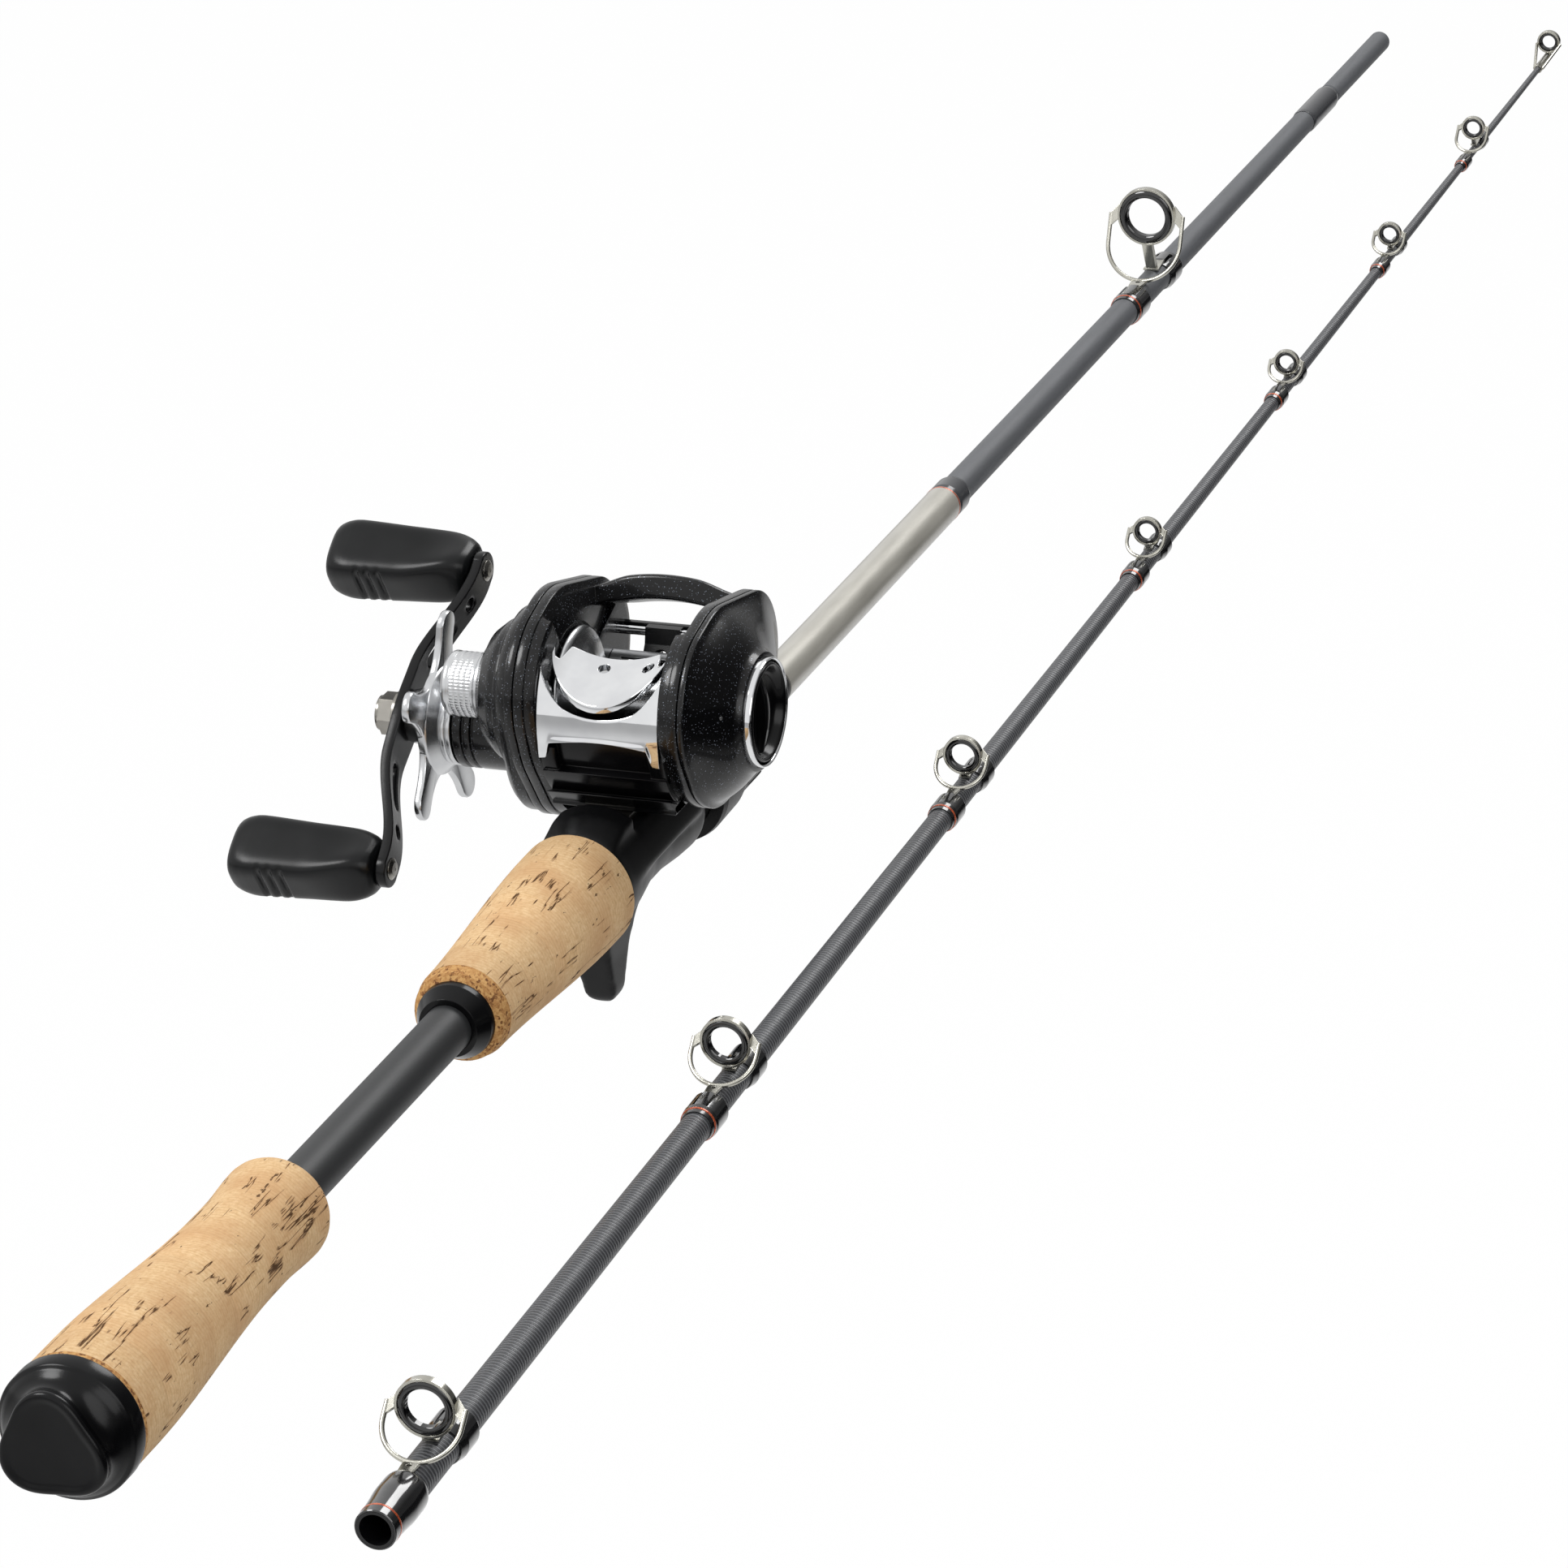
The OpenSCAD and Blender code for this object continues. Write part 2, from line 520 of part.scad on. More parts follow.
// ------------------------------------------------------------------ reel housing
module reel_frame() color(black) on_reel() difference() {
    root = half_gap + 0.3;   // what spans the plates is rooted in them
    union() {
        difference() {
            slab(-plate_y, -half_gap) palm_outline();
            disc(flange_r + 0.8, -plate_y - 1, 0);
        }
        slab(half_gap, plate_y) gear_outline();
        // crowned bridge over the line window
        intersection() {
            slab(-half_gap, half_gap) polygon([[18.4, 17.2], [24, 14.9], [27, 13.8], [28.2, 14.8],
                [27.4, 16.4], [21.4, 21.6], [20.2, 21.6]]);
            translate([0, 0, -26.6]) rotate([0, 90, 0]) cylinder(r = 47.8, h = 40, $fn = 180);
        }
        // deck over the foot, rising in front of the line guide, and the cross bar above it
        slab(-half_gap, half_gap) polygon([[-16, deck_z], [18, deck_z], [28, -13], [34, -6.4],
            [32.4, -5.4], [27, -10.8], [18.5, -18], [-16, -18]]);
        slab(-half_gap, half_gap) polygon([[31.2, 3.4], [33.6, 3.4], [33.8, 4.4], [33, 5.6], [31.2, 5.6]]);
        // lower rear wall
        sector(20.4, 23, 206, 231, -half_gap - 0.1, half_gap + 0.1);
        sector(19.4, 20.9, 174, 209.5, -root, root);
        for (ends = [[-root, -10.8], [10.8, root]]) sector(19.8, 22.4, 190, 212, ends[0], ends[1]);
        slab(-half_gap, half_gap) polygon([[-19, -15.6], [-15, deck_z], [-9, deck_z], [-12, -17.6]]);
        // shoulders over the spool flanges
        for (side = [-1, 1]) arc_bar([[shoulder_r, side * shoulder_y], [20.8, side * shoulder_y],
            [22.2, side * (half_gap + 0.1)], [shoulder_r, side * (half_gap + 0.1)]], 24, 116);
    }
    // room for the spool shaft, the drive shaft, the worm and the guide bar
    disc(6.2, half_gap - 1, plate_y + 1);
    across(drive_at) disc(drive_shaft_r + run, half_gap - 1, plate_y + 1);
    across(worm_at) disc(worm_r + run, -plate_y + 1.5, plate_y + 1);
    across(bar_at) disc(bar_r + slip, -half_gap - 2, half_gap + 2);
}

module reel_foot() color(silver) on_reel() translate([0, -reel_y, deck_z - foot_t]) linear_extrude(foot_t)
    intersection() {
        square([foot_l, foot_w], center = true);
        union() {
            for (side = [-1, 1]) translate([side * 8, 0]) circle(foot_l / 2 - 8);
            square([16, foot_w], center = true);
        }
    }

module gear_cover() color(black) on_reel() difference() {
    union() {
        slab(plate_y, plate_y + gear_rim) gear_outline();
        // bulge over the gears, with a chamfered edge
        slab(plate_y + gear_rim - 0.2, bulge_y - 2.4) lobes([0.5, 1, 18.8], [3.2, -9.6, 19], 0);
        slab(bulge_y - 2.5, bulge_y) lobes([0.5, 1, 17.4], [4.4, -9.8, 17.6], 0);
        slab(plate_y + gear_rim - 0.2, bulge_y - 1.2) translate(drive_at) circle(14.9);
        // stepped dome towards the spool tension cap
        spun([[0, bulge_y - 1], [17.4, bulge_y - 1], [17.4, bulge_y + 0.6], [16.2, bulge_y + 2.4],
            [13.2, dome_y - 2], [9.6, dome_y], [0, dome_y]]);
        disc(6, dome_y - 1, cap_end - 2.4);
        // boss for the drive shaft, ringed at its end
        across(drive_at) spun([[0, 25], [boss_r + 2, 25], [boss_r + 0.6, bulge_y + 1.6], [boss_r, bulge_y + 3.4],
            [boss_r, 39.4], [boss_r - 0.6, 39.8], [boss_r, 40.2], [boss_r, 41.6], [boss_r - 0.6, 42],
            [boss_r, 42.4], [boss_r, boss_end - 0.6], [boss_r - 0.6, boss_end], [0, boss_end]]);
    }
    // hollow for the gear train
    slab(plate_y - 1, gear_y[1] + 0.4) lobes([0.5, 1, 16.6], [5, -9.8, 16.4], 0);
    slab(plate_y - 1, cog_y[1] + 0.4) lobes([6, -5, 16], [20.5, 1.5, 13.4], 0);
    slab(plate_y - 1, gear_y[1] + 0.5) translate(drive_at) circle(13.8);
    disc(11.6, plate_y, 28.8);
    // room for the tension cap beside the boss
    spun([[5.9, cap_y - 0.3], [8.6, cap_y - 0.3], [8.6, boss_end + 1], [0, boss_end + 1], [0, cap_end - 2.35],
        [5.9, cap_end - 2.35]]);
    disc(bearing_r + slip, 28, 33);
    disc(spool_shaft_r + run, 30, cap_end);
    across(drive_at) disc(drive_shaft_r + run, 20, boss_end + 1);
    across(drive_at) disc(6.4 + slip, 36, 42.2);
}

module palm_cover() color(black) on_reel() difference() {
    union() {
        slab(-plate_y - palm_rim, -plate_y) palm_outline();
        hull() {
            slab(-plate_y - palm_rim - 0.3, -plate_y - palm_rim + 0.1) palm_outline(0.6);
            disc(13.2, -palm_face, -palm_face + 0.3);
        }
    }
    difference() {
        hull() {
            slab(-plate_y - 0.1, -plate_y + 0.1) palm_outline(cover_t + 0.4);
            disc(11, -palm_face + 3.9, -palm_face + 4.1);
        }
        // seat for the palm-side spool bearing
        disc(6, -palm_face, -22.4);
    }
    disc(bearing_r + slip, -26, -20);
    disc(11.4 + run, -palm_face - 1, -palm_face + 2.6);
}

module brake_dial() color(black) on_reel() {
    face = -palm_face + 2.5;
    spun([[0, face], [11.4, face], [11.4, face - 3.8], [10.8, face - 4.3], [10, face - 4], [9.2, face - 2],
        [7, face - 1.4], [0, face - 1.3]]);
    // finger bar across the dial
    slab(face - 3.8, face - 1.2) intersection() {
        circle(9.4);
        polygon([[-3.4, -10], [-0.6, -10], [2.2, 0], [-0.6, 10], [-3.4, 10], [-0.8, 0]]);
    }
}

module dial_ring() color(chrome) on_reel() spun([[11.4 + 2 * run, -palm_face], [12.3, -palm_face],
    [12.3, -palm_face - 1.1], [12, -palm_face - 1.6], [11.4 + 2 * run, -palm_face - 1.6]]);

module magnet_ring() color(graphite) on_reel()
    spun([[6 + slip, -25.9], [9.8, -25.9], [9.8, -23.9], [6 + slip, -23.9]]);

// ------------------------------------------------------------------ thumb bar and rear cover
module trough(r) translate([trough_from[0], 0, trough_from[1]]) rotate([0, -90 - trough_slope, 0])
    translate([trough_r, 0, -12]) cylinder(r = r, h = 40, $fn = 120);

module thumb_bar() color(chrome) on_reel() difference() {
    intersection() {
        trough(trough_r + bar_t);
        linear_extrude(30) intersection() {
            translate([lip_x, 0]) circle(lip_r);
            translate([trough_from[0] - 30, 0]) circle(30);
        }
    }
    trough(trough_r);
    // two screw holes
    for (p = [[-13.2, -8.8], [-12.6, 1.8]]) translate([p[0], p[1], 4]) cylinder(r = 0.95, h = 14);
}

module rear_cover() color(chrome) on_reel() difference() {
    sector(22.4, 23.8, 130, 194, -half_gap + 0.1, half_gap - 0.1);
    // room for the thumb bar, at rest and pressed down
    for (d = [0, bar_travel]) translate([-d * cos(bar_dive), 0, -d * sin(bar_dive)]) trough(trough_r + bar_t + 0.3);
    // arched lower edge over the recess of the frame
    slab(-half_gap + 3.4, half_gap - 3.4) translate([-30, -20]) square([20, 20]);
}

// ------------------------------------------------------------------ spool and gear train
module spool() color(silver) on_reel() spun([[spool_shaft_r + slip, -11.6], [5, -11.6], [7.6, -12.9],
    [flange_r - 0.3, -13.9], [flange_r, -13.6], [flange_r, -13.2], [8.8, -11], [8, -9.8], [8, 9.8], [8.8, 11],
    [flange_r, 13.2], [flange_r, 13.6], [flange_r - 0.3, 13.9], [7.6, 12.9], [5, 11.6], [spool_shaft_r + slip, 11.6]]);

module spool_shaft() color(silver) on_reel() disc(spool_shaft_r, -25.6, cap_end - 3);

module spool_bearings() color(silver) on_reel() for (y = [-25.6, 30])
    spun([[spool_shaft_r + run, y], [bearing_r, y], [bearing_r, y + bearing_w], [spool_shaft_r + run, y + bearing_w]]);

module pinion() color(brass) on_reel() difference() {
    union() {
        slab(gear_y[0] - 0.3, gear_y[1] + 0.5) rotate(atan2(drive_at[1], drive_at[0]))
            gear_outline_2d(pinion_teeth, pinion_pitch_r, gear_module * 0.7, gear_module * 1.1, tooth_share);
        disc(2.2, gear_y[1] + 0.4, 28.4);
        disc(3.2, 27.2, 28.4);
    }
    disc(spool_shaft_r + slip, 20, 31);
}

module drive_gear() color(brass) on_reel() across(drive_at) difference() {
    slab(gear_y[0], gear_y[1]) rotate(atan2(-drive_at[1], -drive_at[0]) + 180 / gear_teeth)
        gear_outline_2d(gear_teeth, gear_pitch_r, gear_module * 0.7, gear_module * 1.1, tooth_share);
    disc(10.6, gear_y[0] + 1.2, gear_y[1] + 1);
    disc(drive_shaft_r + slip, 20, 26);
}

module drag_washers() color(graphite) on_reel() across(drive_at) for (i = [0 : 2]) {
    y = gear_y[0] + 1.2 + i * 0.68;
    spun([[drive_shaft_r + slip, y], [10.4, y], [10.4, y + 0.6], [drive_shaft_r + slip, y + 0.6]]);
}

module idler_gear() color(silver) on_reel() across(drive_at) difference() {
    slab(cog_y[0], cog_y[1]) rotate(atan2(worm_at[1] - drive_at[1], worm_at[0] - drive_at[0]) + 180 / idler_teeth)
        gear_outline_2d(idler_teeth, idler_pitch_r, cog_module * 0.7, cog_module * 1.1, tooth_share);
    disc(drive_shaft_r + slip, 19, 23);
}

module drive_shaft() color(silver) on_reel() across(drive_at) disc(drive_shaft_r, half_gap + 0.4, hub_y + arm_t + 3.6);

module roller_clutch() color(silver) on_reel() across(drive_at)
    spun([[drive_shaft_r + run, 36.2], [6.4, 36.2], [6.4, 42], [drive_shaft_r + run, 42]]);

module worm_shaft() color(silver) on_reel() across(worm_at) {
    groove = 0.5;
    difference() {
        disc(worm_r, -plate_y + 1.8, cog_y[0] + 0.1);
        // the crossing grooves, drawn as rings
        for (y = [-13 : 2.6 : 13]) spun([[worm_r - groove, y], [worm_r + 1, y], [worm_r + 1, y + 1.2],
            [worm_r - groove, y + 1.2]]);
    }
    slab(cog_y[0], cog_y[1]) rotate(atan2(drive_at[1] - worm_at[1], drive_at[0] - worm_at[0]))
        gear_outline_2d(cog_teeth, cog_pitch_r, cog_module * 0.7, cog_module * 1.1, tooth_share);
}

module worm_guard() color(silver) on_reel() across(worm_at) difference() {
    sector(4.4, 5.3, 95, 235, -half_gap + 0.05, half_gap - 0.05);
    sector(4, 6, 122, 180, -11.6, 11.6);
}

guide_y = 3.5;
eye_z = -0.5;
module line_guide() color(black) on_reel() translate([0, guide_y, 0]) difference() {
    slab(-4.2, 4.2) {
        translate(worm_at) circle(4);
        polygon([[24.5, -7.5], [28.6, -6.6], [30, -4], [30.2, 5], [29.6, 6.2], [27.4, 6.2], [26.6, 2.6], [25, 0.4]]);
    }
    across(worm_at) disc(worm_r + run, -5, 5);
    across(bar_at) disc(bar_r + run, -5, 5);
    translate([25.4, 0, eye_z]) rotate([0, 90, 0]) cylinder(r = 2.1, h = 20);
    translate([15, 0, eye_z]) rotate([0, 90, 0]) cylinder(r = 1.6, h = 20);
}

module line_guide_eye() color(black) on_reel() translate([30.2, guide_y, eye_z]) rotate([0, 90, 0])
    rotate_extrude() polygon([[1.4, -3.2], [2.05, -3.2], [2.05, 0.05], [2.5, 0.05], [2.5, 0.5], [2, 0.8], [1.5, 0.4]]);

module guide_bar() color(chrome) on_reel() across(bar_at) disc(bar_r, -half_gap - 1.8, half_gap + 1.8);

module clutch_yoke() color(brass) on_reel() sector(2.3 + run, 10.8, 40, 200, 25.2, 26.8);

// ------------------------------------------------------------------ handle side
module tension_cap() color(silver) on_reel() spun([[0, cap_end - 2], [6 + run, cap_end - 2], [6 + run, cap_y],
    [8.2, cap_y], [8.2, cap_y + 0.8], [cap_r, cap_y + 1.3], [cap_r, cap_end - 1.4], [cap_r - 1.2, cap_end],
    [0, cap_end]]);

module star_drag() color(chrome) on_reel() across(drive_at) difference() {
    union() {
        // ringed collar, dished disc and hub
        spun([[0, boss_end + 0.4], [10.2, boss_end + 0.4], [10.2, 46], [9.8, 46.2], [10.2, 46.4], [10.2, 47.2],
            [9.8, 47.4], [10.4, 47.7], [12.8, star_y], [12.8, star_y + star_t], [9, star_y + 2.2],
            [7.6, 53.4], [6.6, 55], [6, hub_y - 0.4], [0, hub_y - 0.4]]);
        slab(star_y, star_y + star_t) for (i = [0 : star_arms - 1]) rotate(star_angle + i * 360 / star_arms) {
            polygon([[6, -9], [11, -6.2], [15, -4], [19, -3.2], [star_r - 3.6, -3.5],
                [star_r - 3.6, 3.5], [19, 3.2], [15, 4], [11, 6.2], [6, 9]]);
            translate([star_r - 3.6, 0]) circle(3.6);
        }
    }
    disc(drive_shaft_r + run, 40, 60);
}

// height of the inner face of the swept handle at a distance from its hub
function arm_y(t) = hub_y - arm_drop * ease((abs(t) - 11) / 27);

module arm_outline() {
    half = handle_l / 2;
    circle(6.4);
    for (side = [-1, 1]) translate([side * half, 0]) circle(4.4);
    polygon([[half, -4.2], [half, 4.2], [26, 4], [13, 4.6], [0, 6], [-13, 4.6], [-26, 4], [-half, 4.2],
        [-half, -4.2], [-26, -4], [-13, -4.6], [0, -6], [13, -4.6], [26, -4]]);
}

module handle_arm() color(black) on_reel() across(drive_at) rotate([0, -handle_angle, 0]) difference() {
    reach = handle_l / 2 + 6;
    span = [for (t = [-reach : 4 : reach]) t];
    slab(post_y, hub_y + arm_t) arm_outline();
    // the arm drops from the hub to the knobs: cut away above and below it
    linear_extrude(16, center = true) polygon(concat([[reach + 2, hub_y + 9], [-reach - 2, hub_y + 9]],
        [for (t = span) [t, arm_y(t) + arm_t]]));
    linear_extrude(16, center = true) polygon(concat([[reach + 2, post_y - 9], [-reach - 2, post_y - 9]],
        [for (t = span) [t, arm_y(t)]]));
    disc(drive_shaft_r + slip, 40, 70);
    for (side = [-1, 1]) {
        across([side * handle_l / 2, 0]) disc(post_r + slip, 40, 70);
        across([side * 30.5, 0]) disc(1.5, 40, 70);
        // lightening slot
        slab(40, 70) translate([side * 19, 0]) {
            for (end = [-1, 1]) translate([end * 4, 0]) circle(1.7);
            square([8, 3.4], center = true);
        }
    }
}

module handle_nut() color(silver) on_reel() across(drive_at) difference() {
    nut_y = hub_y + arm_t;
    union() {
        disc(5.4, nut_y, nut_y + 0.8);
        slab(nut_y + 0.7, nut_y + 4.4) circle(5, $fn = 6);
        disc(4, nut_y + 4.3, nut_y + 5.2);
    }
    disc(drive_shaft_r + slip, 50, nut_y + 3.8);
}

knob_y = post_y + arm_t + 0.3;
knob_turn = 70;

// cross-section of the knob: a flattened round
module knob_section(y, w, t) slab(y, y + 0.2) for (side = [-1, 1])
    translate([side * (w - t) / 2, 0]) circle(t / 2, $fn = 32);

module knob() difference() {
    rotate([0, -knob_turn + handle_angle, 0]) hull() {
        knob_section(knob_y, 9, 7.6);
        knob_section(knob_y + 1.4, 12.6, 10.4);
        knob_section(knob_y + knob_l * 0.35, 16, 11.6);
        knob_section(knob_y + knob_l * 0.82, 19, 12.8);
        knob_section(knob_y + knob_l * 0.95, 15.6, 10.4);
        knob_section(knob_y + knob_l - 0.2, 10, 6);
    }
    disc(post_r + run, 40, knob_y + knob_l - 4);
}

module on_post(side) on_reel() across(drive_at) rotate([0, -handle_angle, 0])
    translate([side * handle_l / 2, 0, 0]) children();

module knob_upper() color(black) on_post(1) knob();
module knob_lower() color(black) on_post(-1) knob();

module knob_screws() color(silver) for (side = [-1, 1]) on_post(side) {
    disc(post_r, post_y - 0.1, knob_y + knob_l - 5);
    spun([[0, post_y - 0.9], [1.6, post_y - 0.8], [2.5, post_y - 0.2], [2.5, post_y], [0, post_y]]);
}

butt_cap();
cork_rings();
rear_grip();
handle_sleeve();
butt_blank();
winding_check();
fore_grip();
reel_seat();
seat_hood();
lock_nut();
silver_sleeve();
clear_wraps();
stripper_frame();
stripper_ring();
stripper_wraps();
spigot();
tip_blank();
ferrule_wrap();
color(silver) guide_n(0);  // guide_frame_1
color(silver) guide_n(1);  // guide_frame_2
color(silver) guide_n(2);  // guide_frame_3
color(silver) guide_n(3);  // guide_frame_4
color(silver) guide_n(4);  // guide_frame_5
color(silver) guide_n(5);  // guide_frame_6
color(silver) guide_n(6);  // guide_frame_7
tip_top_frame();
tip_guide_rings();
tip_guide_wraps();
reel_frame();
reel_foot();
gear_cover();
palm_cover();
brake_dial();
dial_ring();
magnet_ring();
thumb_bar();
rear_cover();
spool();
spool_shaft();
spool_bearings();
pinion();
drive_gear();
idler_gear();
drag_washers();
drive_shaft();
roller_clutch();
star_drag();
handle_arm();
handle_nut();
knob_upper();
knob_lower();
knob_screws();
tension_cap();
worm_shaft();
line_guide();
line_guide_eye();
guide_bar();
clutch_yoke();
worm_guard();
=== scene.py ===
# Casting rod with a low-profile baitcasting reel: finishes, finely shaped pieces, light and camera.
import json
import math

import bmesh
import bpy
import numpy as np
from mathutils import Matrix, Vector


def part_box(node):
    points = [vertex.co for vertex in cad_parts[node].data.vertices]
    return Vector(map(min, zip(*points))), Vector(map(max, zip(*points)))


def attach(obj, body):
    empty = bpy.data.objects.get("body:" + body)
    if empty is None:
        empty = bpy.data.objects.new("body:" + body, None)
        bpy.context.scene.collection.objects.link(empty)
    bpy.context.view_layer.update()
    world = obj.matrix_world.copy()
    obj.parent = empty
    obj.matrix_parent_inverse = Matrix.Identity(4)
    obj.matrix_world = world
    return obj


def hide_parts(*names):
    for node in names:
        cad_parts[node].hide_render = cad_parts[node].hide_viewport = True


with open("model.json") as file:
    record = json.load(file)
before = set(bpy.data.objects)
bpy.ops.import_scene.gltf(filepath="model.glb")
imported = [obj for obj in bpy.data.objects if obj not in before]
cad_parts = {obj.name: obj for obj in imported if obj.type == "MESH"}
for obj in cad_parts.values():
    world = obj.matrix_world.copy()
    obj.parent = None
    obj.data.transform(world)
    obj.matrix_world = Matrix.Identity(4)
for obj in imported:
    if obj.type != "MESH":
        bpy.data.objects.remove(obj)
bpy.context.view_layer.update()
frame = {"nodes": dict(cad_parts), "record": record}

MM = 0.001
REEL_AT = np.array([151, -1.45, 31.3])  # middle of the spool, mm
DRIVE = (9, -12.8)  # drive shaft from the spool axis, [x, z] mm
HANDLE_ANGLE = math.radians(36.5)
CRANK = 40  # drive shaft to knob, mm
BUTT_AT = Vector((-145, 0, 0))  # butt end of the blank, mm
TIP_AT = Vector((-153.5, -64.5, -8.0))  # mouth of the tip section, mm
STRAIGHT = Matrix.Identity(3)
TIP_TURN = Matrix.Rotation(math.radians(0.66), 3, "Z") @ Matrix.Rotation(math.radians(-0.51), 3, "Y")


# ------------------------------------------------------------------ colour and nodes
def linear(hex_colour):
    """An sRGB hex value as linear RGBA."""
    channels = [int(hex_colour[i : i + 2], 16) / 255 for i in (1, 3, 5)]
    return [c / 12.92 if c <= 0.04045 else ((c + 0.055) / 1.055) ** 2.4 for c in channels] + [1]


def add(tree, kind, inputs=None, out=0, stops=None, **settings):
    """Adds a node with its settings and links, and gives one of its outputs. An input is a value, a hex
    colour or another node's output; stops are a ramp's [place, hex colour or grey]."""
    node = tree.nodes.new(kind)
    for name, value in settings.items():
        setattr(node, name, value)
    for name, value in (inputs or {}).items():
        if isinstance(value, bpy.types.NodeSocket):
            tree.links.new(value, node.inputs[name])
        else:
            node.inputs[name].default_value = linear(value) if isinstance(value, str) else value
    if stops:
        while len(node.color_ramp.elements) < len(stops):
            node.color_ramp.elements.new(0.5)
        for element, (at, colour) in zip(node.color_ramp.elements, stops):
            element.position = at
            element.color = linear(colour) if isinstance(colour, str) else [colour] * 3 + [1]
    return node.outputs[out] if node.outputs else node


def empty(name):
    """A material with nothing in it yet, and its node tree."""
    material = bpy.data.materials.new(name)
    material.use_nodes = True
    material.node_tree.nodes.clear()
    return material, material.node_tree


